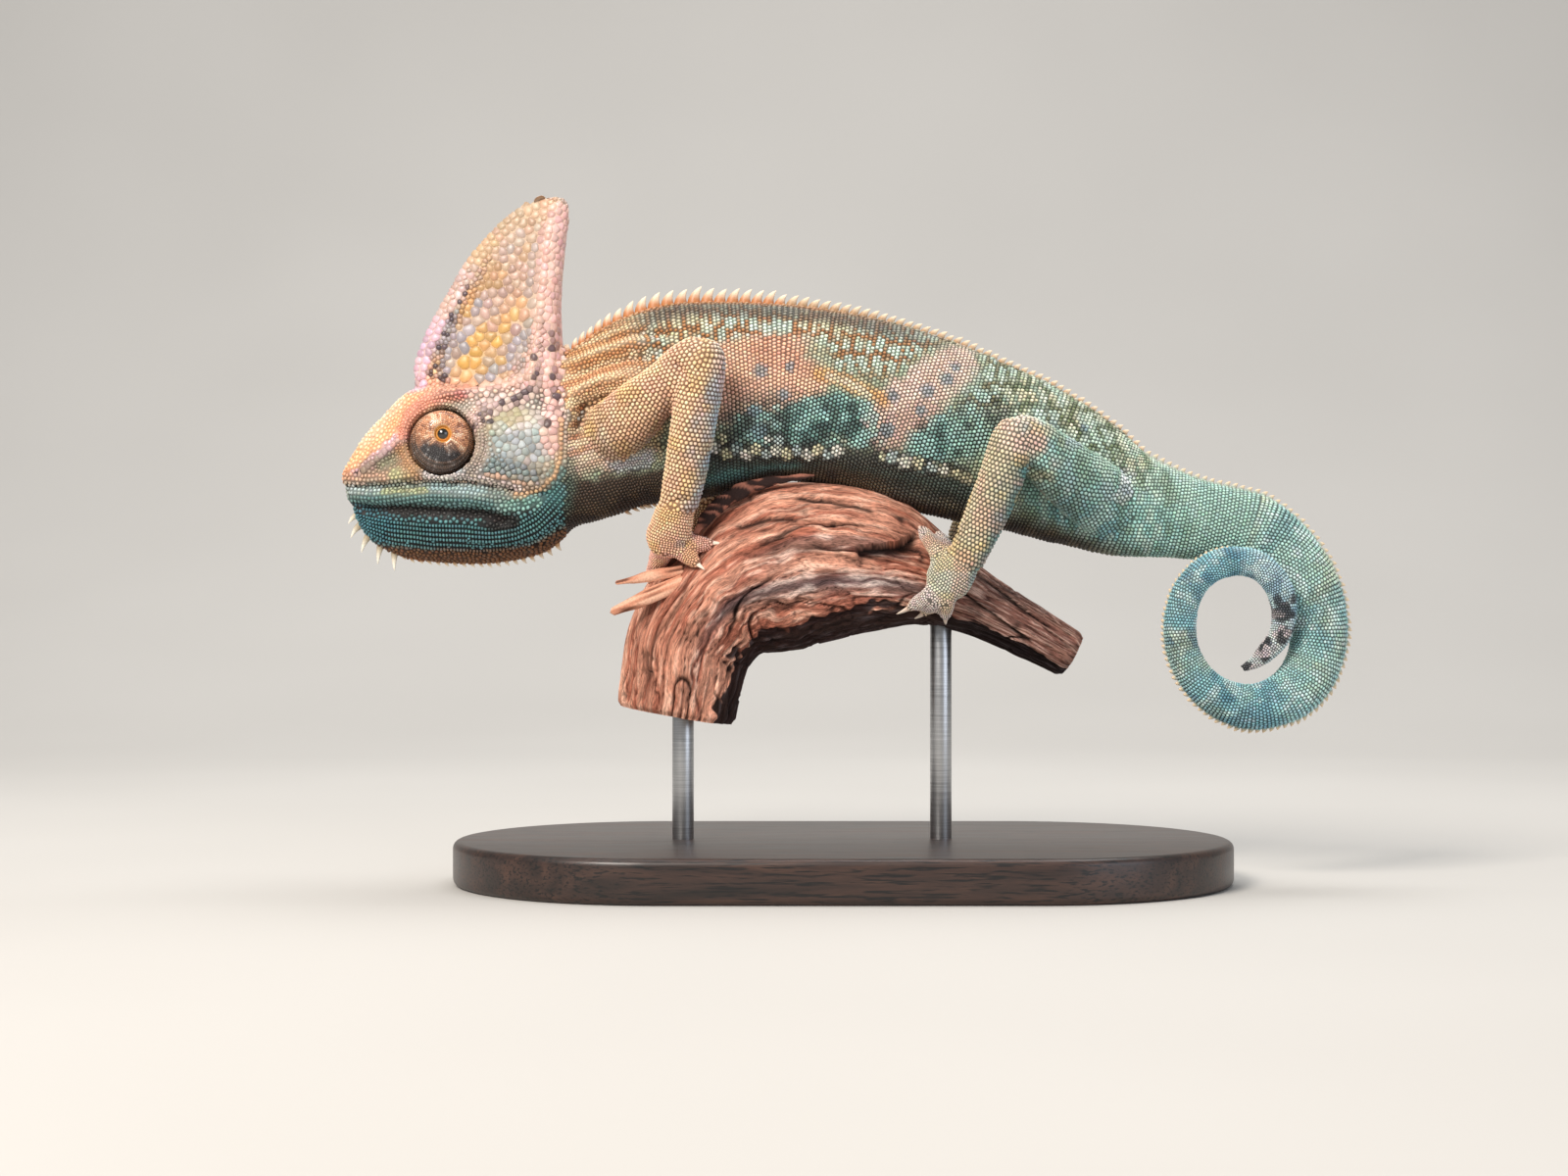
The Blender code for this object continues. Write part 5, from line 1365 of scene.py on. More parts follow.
# each piece of the coat: its scales, sides of each dome, slot
groups = [("coat_casque", onCasque, 16, "casque_scales"),
          ("coat_cheek", restOfHead & (size > 1.5), 12, "casque_scales"),
          ("coat_head", restOfHead & (size <= 1.5), 7, "scaly_skin")]
for name, start, end in (("neck", 0, 3.2), ("chest", 3.2, 5.6), ("flank", 5.6, 8.4), ("rump", 8.4, 12),
                         ("tail_root", 12, 18), ("tail_outer", 18, 24.5), ("tail_inner", 24.5, 38.1)):
    groups.append((f"coat_{name}", (part == 0) & (run >= start) & (run < end), 6, "scaly_skin"))
for limb in legs:
    own = np.array([n.startswith(f"{limb['pair']}_{limb['word']}_") for n in chartNames])[roots["chart"]]
    groups.append((f"coat_{limb['pair']}leg_{limb['word']}", own, 6, "scaly_skin"))
for name, rows, sides, slotName in groups:
    rows = np.nonzero(rows)[0]
    piece = scalePiece(name, roots, rows, sides, name in ("coat_casque", "coat_cheek"))
    print(f"  {name}: {len(rows)} scales, {len(piece.data.polygons)} triangles")

# the skin takes the colour of the gaps between the scales nearest to it
skinColour = roots["gapColour"][nearestOf(treeOf(roots["place"]), skinSurface.points)]
onHead = partOfChart[skinChart] == 1
# the mouth and nostril seams, and a painted shadow along the groove under the lower lip
seamsAndJawShadow = [("170f0d", 0.6, 0.3, 0.95, mouthLine), ("120c0b", 1.7, 0.35, 0.95, jawGroove),
         ("0d0908", 0.8, 0.3, 0.95, [(-133.2, 112.5), (-132.4, 112.7)])]  # mouth, jaw and nostril
headPoints = skinPoints[onHead]
skinColour[onHead] = painted(skinColour[onHead], seamsAndJawShadow, headPoints, fineEdge(headPoints, 0.05))
setColour(skin.data, skinColour)
skin.data.shade_smooth()
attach(skin, "root")
fleshNames = ("neck", "chest", "belly", "pelvis", "tail_", "head", "jaw_", "casque", "foreleg", "hindleg",
              "forefoot", "hindfoot")
fleshNodes = [n for n in frame["nodes"] if n.startswith(fleshNames)]
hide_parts(*fleshNodes)

print("eyes, claws and crests")
turret = {"sides": 96, "rings": 0.62, "grain": 0.60, "height": 0.16, "eyeball": 2.42, "eyeballOut": 12.95}
# the turret's outline from the lids' edge to its foot: distance from its axis, distance out
turretProfile = [(2.05, 13.2), (2, 14.6), (2.25, 15.35), (2.9, 15.62), (3.6, 15.5), (4.5, 15.15),
                 (5.4, 14.65), (6.2, 13.95), (6.9, 13.15), (7.35, 12.35), (7.45, 12), (7.75, 11.75),
                 (7.95, 11.2), (7.95, 10.85), (8.2, 10.6), (8.35, 9.9), (8.3, 9.55), (8.5, 9.2),
                 (8.55, 8.5), (8.4, 7.6), (8.3, 6.2)]
turretGrooves = (7.45, 7.95, 8.3)


def turretColour(places, angle, radius):
    # angle 0 points along the eye's across axis, a quarter turn is up
    high, aside = (places[:, 2] - eyeMiddle[2]) / 8.5, (places[:, 0] - eyeMiddle[0]) / 8.5
    ray = noise(np.stack([np.cos(angle) * 5, np.sin(angle) * 5, radius * 0.12], axis=1), 0.42, 71)
    fleck = noise(places, 0.62, 72)
    light = ease(-0.26, 0.24, high + 0.20 * aside + 0.04 + 0.13 * ray + 0.16 * noise(places, 2.4, 73))
    ring = ease(6.7, 7.3, radius)
    wave = 0.5 + 0.5 * np.sin(radius / 0.46 * 2 * math.pi)
    colour = layered(
        mixed("2f2a2c", "dc9b72", light),
        ("fbd6b2", light * ease(0.05, 0.45, 0.7 * ray + 0.5 * fleck) * 0.85),
        ("6a3520", light * ease(0.10, 0.45, -0.6 * ray - 0.6 * fleck) * 0.75),
        # painted reflection: pale grey streaks over the dark lower part
        ("a19d9d", (1 - light) * ease(0.10, 0.45, 0.55 * ray + 0.6 * fleck) * 0.65),
        ("c9946f", ring * (0.22 + 0.50 * wave) * (0.55 + 0.45 * light)))
    return colour * (1 - 0.45 * ring * (1 - wave))[:, None]


for side, word in ((-1, "left"), (1, "right")):
    way = eyeWay[side]
    across = unit(np.cross((0, 0, 1), way))
    over = np.cross(way, across)

    def turretPoint(radius, out, angle):
        # the opening sits higher than the middle of the turret's foot
        lean = ease(9.5, 15.3, out)[:, None] * np.array(eye["lean"])
        return (eyeMiddle + way * out[:, None] + across * (radius * np.cos(angle))[:, None]
                + over * (radius * np.sin(angle))[:, None] + lean)

    profile = smoothRows(turretProfile, np.linspace(0, len(turretProfile) - 1, 90))
    radius, out = (np.repeat(column, turret["sides"]) for column in profile.T)
    turn = np.tile(turnsOf(turret["sides"]), len(profile))
    places = turretPoint(radius, out, turn)
    mesh = meshOf(f"turretSkin_{word}", places, gridFaces(len(profile), turret["sides"]))
    # painted shade in the turret's fold grooves
    grooveShade = [np.exp(-((radius - groove) / 0.10) ** 2) * (out < 12.4) for groove in turretGrooves]
    base = turretColour(places, turn, radius) * 0.72 * (1 - 0.8 * np.maximum.reduce(grooveShade))[:, None]
    setColour(mesh, layered(base, ("dfa050", ease(2.6, 2.15, radius) * 0.85)))
    turretObj = facedOut(objectFrom(f"turret_{word}", mesh))
    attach(turretObj, "root")
    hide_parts(f"eye_turret_{word}")
    # granules in rings round the lids
    run = runOf(profile)
    start = run[np.argmax((profile[:, 0] > 2.85) & (profile[:, 1] > 15))]
    stops = np.arange(start, np.interp(7.3, profile[:60, 0], run[:60]), turret["rings"])
    rings = [*zip(*(np.interp(stops, run, column) for column in profile.T))]
    rings += [(7.62, 11.9), (8.12, 10.75), (8.5, 9.1)]
    counts = [round(2 * math.pi * ringRadius / turret["grain"]) for ringRadius, _ in rings]
    turns = np.concatenate([(np.arange(count) + 0.5 * (number % 2)) / count * 2 * math.pi
                            for number, count in enumerate(counts)])
    radii, outs = (np.repeat(column, counts) for column in np.array(rings).T)
    spots, normals, _ = Surface(mesh).nearest(turretPoint(radii, outs, turns))
    if ((spots - eyeMiddle - way * 10) * normals).sum() < 0:
        normals = -normals
    uneven = 1 + 0.08 * np.random.default_rng(3).standard_normal(len(spots))
    tones = turretColour(spots, turns, radii) * uneven[:, None]
    fromEye = spots - eyeMiddle
    circle = np.stack([np.cos(turns), np.sin(turns)], axis=1)
    grains = {"place": spots, "normal": normals, "near": neighboursOf(spots, 8),
              "lie": lying(unit(fromEye - way * (fromEye * way).sum(axis=1)[:, None]), normals),
              "size": np.full(len(spots), turret["grain"]), "high": np.full(len(spots), turret["height"]),
              "colour": tones, "gapColour": tones * 0.58,
              "unwrap": 0.5 + circle * (radii / 8.6 * 0.46)[:, None]}
    scalePiece(f"turret_grain_{word}", grains, np.arange(len(spots)), 6)
    # the eyeball, seen in the opening of the lids
    deselectAll()
    bpy.ops.mesh.primitive_uv_sphere_add(
        segments=64, ring_count=40, radius=turret["eyeball"] * mm,
        location=(eyeMiddle + way * turret["eyeballOut"] + np.array(eye["lean"])) * mm,
        rotation=Vector(way).to_track_quat("Z", "Y").to_euler())
    ball = bpy.context.object
    ball.name = f"eyeball_{word}"
    places = verticesOf(ball.data) / mm
    front, reach = places[:, 2] > 0, np.hypot(places[:, 0], places[:, 1])
    cornea = np.exp(-((reach / 1.15) ** 2)) * front * 0.16
    moveVertices(ball.data, places + unit(places) * cornea[:, None])
    setColour(ball.data, layered(mixed("050404", "eeb060", ease(1.38, 1.52, reach) * front),
                                 ("7a4620", ease(1.9, 2.2, reach))))
    ball.data.shade_smooth()
    activate(ball)
    bpy.ops.object.transform_apply(location=True, rotation=True, scale=True)
    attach(ball, "root")
    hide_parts(f"eye_{word}")

claw = {"sides": 10, "rings": 12, "radius": 0.95, "tip": 0.12, "fore": 0.95, "hind": 1.35}


def horn(path, radii, sides, flat=1.0, sideWay=(0, 1, 0)):
    # a tapering horn along points, closed at both ends; returns points and triangles
    path = np.asarray(path, float)
    tangent = unit(np.gradient(path, axis=0))
    first = unit(np.cross(tangent, sideWay))
    second = np.cross(first, tangent)
    a, reach = turnsOf(sides)[None, :, None], radii[:, None, None]
    rings = (path[:, None] + first[:, None] * (np.cos(a) * reach)
             + second[:, None] * (np.sin(a) * reach * flat))
    points = np.concatenate([rings.reshape(-1, 3), path[:1], path[-1:] + tangent[-1:] * radii[-1] * 0.8])
    k, after = np.arange(sides), (np.arange(sides) + 1) % sides
    last = (len(path) - 1) * sides
    foot, tip = np.full(sides, len(points) - 2), np.full(sides, len(points) - 1)
    caps = [np.stack([after, k, foot], axis=1), np.stack([last + k, last + after, tip], axis=1)]
    return points, np.concatenate([halved(gridFaces(len(path), sides)), *caps])


def alongHorn(t, sides):
    # how far along a horn each of its points is
    return np.concatenate([np.repeat(t, sides), [0, 1]])


def outwardPiece(name, parts):
    # one piece from several closed (points, triangles, colours)
    points, faces, tints = zip(*parts)
    starts = np.cumsum([0] + [len(p) for p in points])
    faces = np.concatenate([face + start for face, start in zip(faces, starts)])
    mesh = meshOf(name, np.concatenate(points), faces)
    setColour(mesh, np.concatenate(tints))
    obj = facedOut(objectFrom(name, mesh))
    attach(obj, "root")
    return obj


for limb in legs:
    parts = []
    for toe in (t for t in toes if t["limb"] is limb):
        end, middle, tip = (np.array(toe[k]) for k in ("end", "middle", "tip"))
        start = end - unit(tip - end) * 0.4
        tip = end + (tip - end) * claw[limb["pair"]]
        s = np.linspace(0, 1, claw["rings"])
        t = s[:, None]
        path = start * (1 - t) ** 2 + 2 * t * (1 - t) * (middle + np.array(toe["normal"]) * 0.35) + tip * t**2
        radii = claw["radius"] * (1 - s) ** 0.75 * (1 - 0.12 * s) + claw["tip"]
        shade = alongHorn(s, claw["sides"])
        tint = layered(mixed("e2bba8", "f3e2d0", ease(0.2, 0.7, shade)),
                       ("b4927c", ease(0.85, 1.0, shade) * 0.5))
        parts.append((*horn(path, radii, claw["sides"], 0.72, toe["normal"]), tint))
    claws = outwardPiece(f"claws_{limb['pair']}_{limb['word']}", parts)
    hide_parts(*[f"claw_{limb['pair']}_{limb['word']}_{k}" for k in range(1, 6)])

# where the crest starts and ends on the backbone, how far its spines lean, and their height along it
crest = {"first": 1.55, "last": 31, "lean": 0.85, "steps": 7, "sides": 8,
         "at": (1.5, 2.6, 3.6, 4.6, 6.2, 7.6, 9.6, 12.6, 16, 20, 26, 31),
         "heights": (1.6, 3.6, 5.0, 4.7, 3.8, 3.0, 2.2, 1.9, 1.8, 1.7, 1.4, 0.7)}


def crestSpine(foot, away, back, height, radius, tones):
    # a curved, flattened cone whose tip leans back
    t = np.linspace(0, 1, crest["steps"])
    lean = crest["lean"] * height * t**2 * 0.62
    path = foot - away * 0.6 + away * ((height + 0.6) * t * (1 - 0.12 * t))[:, None] + back * lean[:, None]
    radii = radius * (1 - t) ** 0.8 * (1 + 0.25 * (1 - t) * t) + 0.09
    tint = mixed(*tones, ease(0.22, 0.85, alongHorn(t, crest["sides"])))
    return *horn(path, radii, crest["sides"], 0.62), tint


dense = np.linspace(crest["first"], crest["last"], 4000)
here, _, up = backboneAt(dense)
run = runOf(here[:, :3] + up * here[:, 3:4])
height = np.interp(dense, crest["at"], crest["heights"])
# taller spines stand further apart
step = np.interp(height, [0.7, 1.4, 1.9, 2.8, 3.6, 5.0], [1.5, 1.9, 2.15, 2.4, 2.9, 3.8])
count = np.concatenate([[0], np.cumsum(np.diff(run) / step[1:])])
stops = np.interp(np.arange(0.3, count[-1]), count, dense)
here, back, up = backboneAt(stops)
dice = np.random.default_rng(8)
parts = []
for i, at in enumerate(stops):
    foot = np.array(skinSurface.tree.find_nearest(Vector(here[i, :3] + up[i] * here[i, 3]))[0])
    foot[1] = here[i, 1]
    high = np.interp(at, dense, height) * dice.uniform(0.86, 1.1)
    tones = ("b8713a", "f0dcc0") if at < 6 else ("a47c52", "e8d2b4") if at < 13 else ("86a09a", "e2c8a4")
    parts.append(crestSpine(foot, up[i], back[i], high, 0.54 * float(np.interp(at, dense, step)), tones))
outwardPiece("crest_back", parts)
print("  crest spines", len(parts))

parts = []
# the chin's spines: x, z, degrees they point
chinSpines = ((-134.2, 100.6, 190), (-133.8, 97.6, 205), (-131.6, 94.6, 224), (-128.2, 92.2, 245),
              (-124.4, 90.6, 258))
for x, z, angle in chinSpines:
    away = np.array([math.cos(math.radians(angle)), 0, math.sin(math.radians(angle))])
    back = np.array([0.3, 0, -0.9])
    parts.append(crestSpine(np.array([x + 1, 0, z + 0.8]), away, back, 4.3, 1.1, ("a99a80", "f1ead8")))
for x in np.arange(-121, -77, 2.35):  # small spines along the keel of the pouch
    share = (x + 121) / 44
    z = pathAt([(row[0], row[2]) for row in jawRows], x)
    parts.append(crestSpine(np.array([x, 0, z + 0.35]), unit(np.array([0.15, 0, -1])), np.array([1, 0, 0]),
                            0.9 + 0.9 * share, 0.55 + 0.2 * share, ("c79a6c", "f2e4cb")))
bellyStops = np.arange(1.2, 4.4, 0.2)
here, back, up = backboneAt(bellyStops)
for i, at in enumerate(bellyStops):
    foot = here[i, :3] - up[i] * (here[i, 3] - 0.3)
    height = float(np.interp(at, [1.2, 2.4, 4.4], [1.7, 1.5, 0.7]))
    parts.append(crestSpine(foot, -up[i], back[i], height, 0.6, ("b58a60", "efe0c6")))
outwardPiece("crest_throat", parts)

print("driftwood")
bough = {"rings": 240, "sides": 300, "grainRadius": 18, "capSteps": 16}
rings, sides = bough["rings"], bough["sides"]
at = np.linspace(0, len(boughRows) - 1, rings)
turn = turnsOf(sides)
ringTurn = np.tile(turn, rings)
surface = boughPoint(np.repeat(at, sides), ringTurn)
middle = smoothRows(boughRows, at)[:, :3]
core = np.repeat(middle, sides, axis=0)
runAlong = runOf(middle)
along = np.repeat(runAlong, sides)
x, y, z = surface.T

# edges of peeled plates on the near side: depth below the edge, reach, path in the side view
shelves = [
    (1.3, 1.6, [(-58, 90.6), (-52, 96.4), (-44, 101.2), (-34, 104.8), (-24, 107.4)]),
    (0.9, 0.9, [(-14, 103), (-6, 102.6), (2, 101.4), (9, 99.6)]),
    (4.2, 4.2, [(3, 92), (8, 92.6), (14, 93), (20, 94.6)]),
    (0.9, 1.4, [(-30, 96), (-20, 98.6), (-12, 98.8)]),
    (1.1, 1.2, [(30, 82), (40, 74.6), (52, 66)]),
    (0.9, 1, [(34, 88), (44, 80), (58, 70)]),
]


def grainPlace(turned):
    # along the bough and round it in mm, so that the pattern closes on itself
    radius = bough["grainRadius"]
    return np.stack([along, np.cos(turned) * radius, np.sin(turned) * radius], axis=1)


warp = grainPlace(ringTurn)
grain = grainPlace(ringTurn + 0.20 * noise(warp, (42, 15, 15), 81) + 0.07 * noise(warp, (15, 7, 7), 82)
                   + 0.040 * noise(warp, (4.4, 3, 3), 80))
fibre = 0.5 + 0.5 * noise(grain, (4.6, 0.66, 0.66), 83)
strand = 0.5 + 0.5 * noise(grain, (14, 1.5, 1.5), 84)
groove = ease(0.12, 0.0, np.abs(noise(grain, (13, 1.7, 1.7), 85)))
crack = (ease(0.07, 0.0, np.abs(noise(grain, (26, 5.2, 5.2), 86)))
         * ease(-0.1, 0.3, noise(warp, (20, 9, 9), 87)))
crossCrack = (ease(0.08, 0.01, np.abs(noise(grain, (2.4, 4.5, 4.5), 89)))
              * ease(0.1, 0.5, noise(warp, (13, 8, 8), 90)))
upFace = np.cos(ringTurn)
rag = noise(grain, (5, 3, 3), 88) + 0.6 * noise(grain, (2, 1.4, 1.4), 79)
# the outer layer has come away underneath, in a ragged line; that underside is also painted near black as
# shade
bare = ease(0.0, -0.06, upFace + 0.14 * rag + np.interp(x, [-60, -20, 6, 30], [0.66, 0.66, 0.50, 0.46]))
shelf, shelfShadow = np.zeros(len(along)), np.zeros(len(along))
for deep, reach, path in shelves:
    far, share = pathDistance(x, z, path)
    far = far * (1 + 0.25 * rag)
    below = (y < core[:, 1]) * (z < pathAt(path, x) + 0.25 * rag)
    ends = ease(0, 0.08, share) * ease(0, 0.08, 1 - share)
    shelf = np.maximum(shelf, below * ends * deep * np.exp(-(far / reach) ** 2))
    # a painted shadow lies in a dark line under each plate's edge
    shelfShadow = np.maximum(shelfShadow, below * ends * np.exp(-(far / (reach * 0.8)) ** 2))
depth = (0.46 * (1 - fibre) + 0.75 * (1 - strand) + 0.65 * groove + 1.2 * crack + 0.4 * crossCrack
         + 0.9 * bare + shelf)
depth += 0.9 * ease(2.2, 0.0, np.minimum(along, runAlong[-1] - along)) ** 2
# claws and feet rest on the bough's own surface, so the wood stays nearly whole beneath them
footTree = treeOf([np.array(t[k]) for t in toes for k in ("end", "tip")])
depth *= 0.45 + 0.55 * ease(2.5, 7.0, np.array([footTree.find(p)[2] for p in surface]))
# the near upper edge stands proud: radians from its line, and a softer fall below than above
fromEdge = np.arctan2(core[:, 1] - y, z - core[:, 2]) - 0.32
plateLift = (np.interp(x, [-40, -34, -24, -7, 8, 18, 28, 36], [0, 4.4, 4.2, 4.2, 4.6, 4.4, 2.0, 0])
             * np.exp(-((fromEdge / np.where(fromEdge < 0, 0.22, 0.62)) ** 2)))
lifted = plateLift[:, None] * np.array([0, -0.15, 0.985])
woodPoints = surface + unit(core - surface) * depth[:, None] + lifted

band = (np.exp(-(((upFace + 0.16 + 0.22 * noise(grain, (30, 7, 7), 93)) / 0.17) ** 2))
        * ease(-46, -30, x) * ease(34, 18, x))
band = np.maximum(band, 0.6 * ease(0.3, 0.65, noise(grain, (26, 4.5, 4.5), 94)) * ease(-40, -10, x))
rear = ease(22, 36, x)
band = np.maximum(band, 0.75 * rear)
greyTone = layered(mixed("5e5458", "cbbcb6", ease(0.45, 0.85, fibre)), ("946c5e", rear * 0.5))
tint = layered(mixed("cb7c63", "f2ab8e", ease(0.30, 0.62, strand)),
               # the wood's pale fibres, brightened as a painted highlight where they stand raised
               ("ffd0b6", ease(0.52, 0.80, fibre) * 0.6),
               ("9c5743", ease(0.1, 0.6, noise(grain, (22, 5, 5), 92)) * 0.4))
tint = blendTo(tint, greyTone, band * 0.85)
# painted shade: the underside below the ragged line is laid over near black
tint = blendTo(tint, mixed("151216", "4a454e", ease(0.5, 0.9, fibre) * 0.7), bare * 0.93)
tint = layered(tint, ("241512", np.clip(0.55 * groove + 0.9 * crack + 0.5 * crossCrack, 0, 0.93)),
               # painted shadow under the edges of the peeled plates
               ("0f0a0a", shelfShadow * 0.94))
tint = tint * (0.50 + 0.66 * fibre)[:, None]

# sawn ends: rings that shrink to the middle, with growth rings in their colour
allPoints, allTints, triangles = [woodPoints], [tint], [halved(gridFaces(rings, sides))]
rays = noise(np.stack([np.cos(turn) * 6, np.sin(turn) * 6, turn * 0], axis=1), 1.3, 94)
count = rings * sides
for first in (True, False):
    outer = woodPoints.reshape(rings, sides, 3)[0 if first else -1]
    centre = middle[0 if first else -1]
    edge = np.arange(sides) + (0 if first else (rings - 1) * sides)
    for k in range(1, bough["capSteps"]):
        share = 1 - k / bough["capSteps"]
        ring = centre + (outer - centre) * share
        years = np.linalg.norm(ring - centre, axis=1) + 0.9 * noise(ring, 8, 93)
        dark = ease(0.35, 1.0, np.sin(years / 0.95 * 2 * math.pi))
        allPoints.append(ring)
        allTints.append(layered(mixed("c39273", "8d5c43", dark * 0.7),
                                ("3a261d", ease(0.10, 0.0, np.abs(rays)) * share * 0.8)))
        inner = np.arange(sides) + count
        triangles.append(halved(np.stack([edge, inner, np.roll(inner, -1), np.roll(edge, -1)], axis=1)))
        edge = inner
        count += sides
    allPoints.append(centre[None])
    allTints.append(plain("8d5c43", [centre]))
    triangles.append(np.stack([edge, np.full(sides, count), np.roll(edge, -1)], axis=1))
    count += 1
allPoints = np.concatenate(allPoints)
boughMesh = meshOf("driftwood", allPoints, np.unique(np.concatenate(triangles), axis=0))
setColour(boughMesh, np.concatenate(allTints))
grainAll = np.concatenate([grain, allPoints[len(grain):]])  # the sawn ends have no grain of their own
grainLayer = boughMesh.attributes.new("Grain", "FLOAT_VECTOR", "POINT")
grainLayer.data.foreach_set("vector", grainAll.astype(np.float32).ravel())
driftwood = facedOut(objectFrom("driftwood", boughMesh))
driftwood.data.set_sharp_from_angle(angle=math.radians(70))
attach(driftwood, "root")
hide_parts("perch")
print("  driftwood triangles", len(boughMesh.polygons))

# two splinters at the torn end: foot, tip, radius at each
splinters = (((-43, -14.5, 82.5), (-62.4, -15, 74.6), 2.4, 1.1),
             ((-43.5, -14, 86), (-61.4, -15.5, 82.4), 1.6, 0.7))
parts = []
for number, (foot, tip, thick, thin) in enumerate(splinters):
    foot, tip = np.array(foot, float), np.array(tip, float)
    t = np.linspace(0, 1, 40)
    path = foot + (tip - foot) * t[:, None]
    points, faces = horn(path, np.interp(t, [0, 0.5, 1], [thick, thick, thin]), 28, 0.8)
    way = unit(tip - foot)
    local = np.stack([points @ way, points[:, 1], points @ np.cross(way, (0, 1, 0))], axis=1)
    split = noise(local, (9, 0.8, 0.8), 95 + number)
    centreLine = np.concatenate([np.repeat(path, 28, axis=0), path[:1], path[-1:]])
    points = points + unit(centreLine - points + 1e-6) * (0.35 * ease(0.1, -0.6, split))[:, None]
    parts.append((points, faces, layered(mixed("c98a6e", "e3b195", ease(-0.2, 0.6, split)),
                                         ("4a2c22", ease(-0.1, -0.6, split) * 0.8))))
outwardPiece("driftwood_splinters", parts)

# a strip of bark that has come away along the near upper edge, dark and ragged: x, y, z, radius
barkRows = [(-40.6, -15.4, 95, 0.5), (-36.6, -14.8, 100.6, 1.7), (-30.6, -13, 105.8, 2.1),
            (-21.5, -11.4, 109.6, 1.4), (-8, -10.4, 111.6, 0.3)]
strip = smoothRows(barkRows, np.linspace(0, len(barkRows) - 1, 110))
points, faces = horn(strip[:, :3], strip[:, 3] * (1 + 0.22 * noise(strip[:, :3], 2.2, 97)), 24, 0.36)
torn = noise(points, (4, 0.7, 0.7), 98)
points = points + np.array([0, 0.12, 0.32]) * (torn + 0.7 * noise(points, 1.3, 99))[:, None]
bark = mixed("2b1b18", "9b6554", ease(-0.05, 0.6, torn))
outwardPiece("driftwood_strip", [(points, faces, bark)])

print("stand")
plate = {"length": 214, "width": 116, "thickness": 12, "edge": 2}
rods = {"front": (-44, 58), "rear": (27, 78)}  # x and top of each
rodShape = {"radius": 2.97, "foot": 5.3, "chamfer": 0.4}


def cylinder(name, radius, x, low, high, sides):
    deselectAll()
    bpy.ops.mesh.primitive_cylinder_add(vertices=sides, radius=radius * mm, depth=(high - low) * mm,
                                        location=(x * mm, 0, (low + high) / 2 * mm))
    obj = bpy.context.object
    obj.name = name
    bpy.ops.object.transform_apply(location=True, rotation=True, scale=True)
    return obj


def roundedEdges(obj, width, segments):
    # bevels the square edges, then smooths what is left
    activate(obj)
    bevel = obj.modifiers.new("bevel", "BEVEL")
    bevel.limit_method, bevel.angle_limit = "ANGLE", math.radians(60)
    bevel.width, bevel.segments = width * mm, segments
    bpy.ops.object.modifier_apply(modifier=bevel.name)
    bpy.ops.object.shade_smooth_by_angle(angle=math.radians(35))


board = cylinder("stand_board", plate["width"] / 2, 0, 0, plate["thickness"], 160)
for v in board.data.vertices:  # its two halves are drawn apart
    if abs(v.co.x) > 1e-5:
        v.co.x += math.copysign((plate["length"] - plate["width"]) / 2 * mm, v.co.x)
roundedEdges(board, plate["edge"], 5)
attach(board, "root")
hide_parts("stand_base")

for name, (x, top) in rods.items():
    rod = cylinder("stand_steel_" + name, rodShape["radius"], x, rodShape["foot"], top, 48)
    roundedEdges(rod, rodShape["chamfer"], 2)
    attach(rod, "root")
    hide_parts("stand_rod_" + name)

print("finishes")


def material(name):
    made = bpy.data.materials.new(name)
    made.use_nodes = True
    return made, made.node_tree, made.node_tree.nodes["Principled BSDF"]


def fill(tree, node, inputs):
    # each input is a value, or a socket to link from
    for key, value in inputs.items():
        if isinstance(value, bpy.types.NodeSocket):
            tree.links.new(value, node.inputs[key])
        else:
            node.inputs[key].default_value = value


def add(tree, kind, output, inputs=None, stops=(), **settings):
    # one node with its settings, and a colour ramp's stops; gives the socket that is used
    node = tree.nodes.new("ShaderNode" + kind)
    for key, value in settings.items():
        setattr(node, key, value)
    fill(tree, node, inputs or {})
    for place, _ in stops[1:-1]:
        node.color_ramp.elements.new(place)
    for number, (place, hexText) in enumerate(stops):
        node.color_ramp.elements[number].position = place
        node.color_ramp.elements[number].color = rgba(hexText)
    return node.outputs[output]


def wearsColour(name, roughness, spread, bumpSize, bumpDepth, specular=0.5, coatWeight=0, coatRoughness=0.2,
                mottle=0.10):
    # a finish whose colour is the piece's own, with fine mottling, uneven gloss and fine relief; sizes in mm
    made, tree, shader = material(name)
    colour = add(tree, "VertexColor", "Color", layer_name="Colour")
    place = add(tree, "TexCoord", "Object")
    fineScale = 1 / (bumpSize * mm)
    fine = add(tree, "TexNoise", "Fac", {"Vector": place, "Scale": fineScale, "Detail": 3, "Roughness": 0.6})
    broad = add(tree, "TexNoise", "Fac", {"Vector": place, "Scale": 0.12 * fineScale, "Detail": 2})
    spreadOver = {"From Min": 0.3, "From Max": 0.7}
    light = add(tree, "MapRange", "Result",
                {"Value": fine, **spreadOver, "To Min": 1 - mottle, "To Max": 1 + mottle})
    tinted = add(tree, "VectorMath", "Vector", {0: colour, "Scale": light}, operation="SCALE")
    gloss = add(tree, "MapRange", "Result",
                {"Value": broad, **spreadOver, "To Min": roughness - spread, "To Max": roughness + spread})
    bump = add(tree, "Bump", "Normal", {"Height": fine, "Strength": 0.5, "Distance": bumpDepth * mm})
    fill(tree, shader, {"Base Color": tinted, "Roughness": gloss, "Normal": bump,
                        "Specular IOR Level": specular, "Coat Weight": coatWeight,
                        "Coat Roughness": coatRoughness})
    return made


def dress(pieces, made):
    for obj in pieces:
        obj.data.materials.clear()
        obj.data.materials.append(made)


def named(*starts):
    return [o for o in bpy.context.scene.objects
            if o.type == "MESH" and o.name.startswith(starts) and "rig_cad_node" not in o]


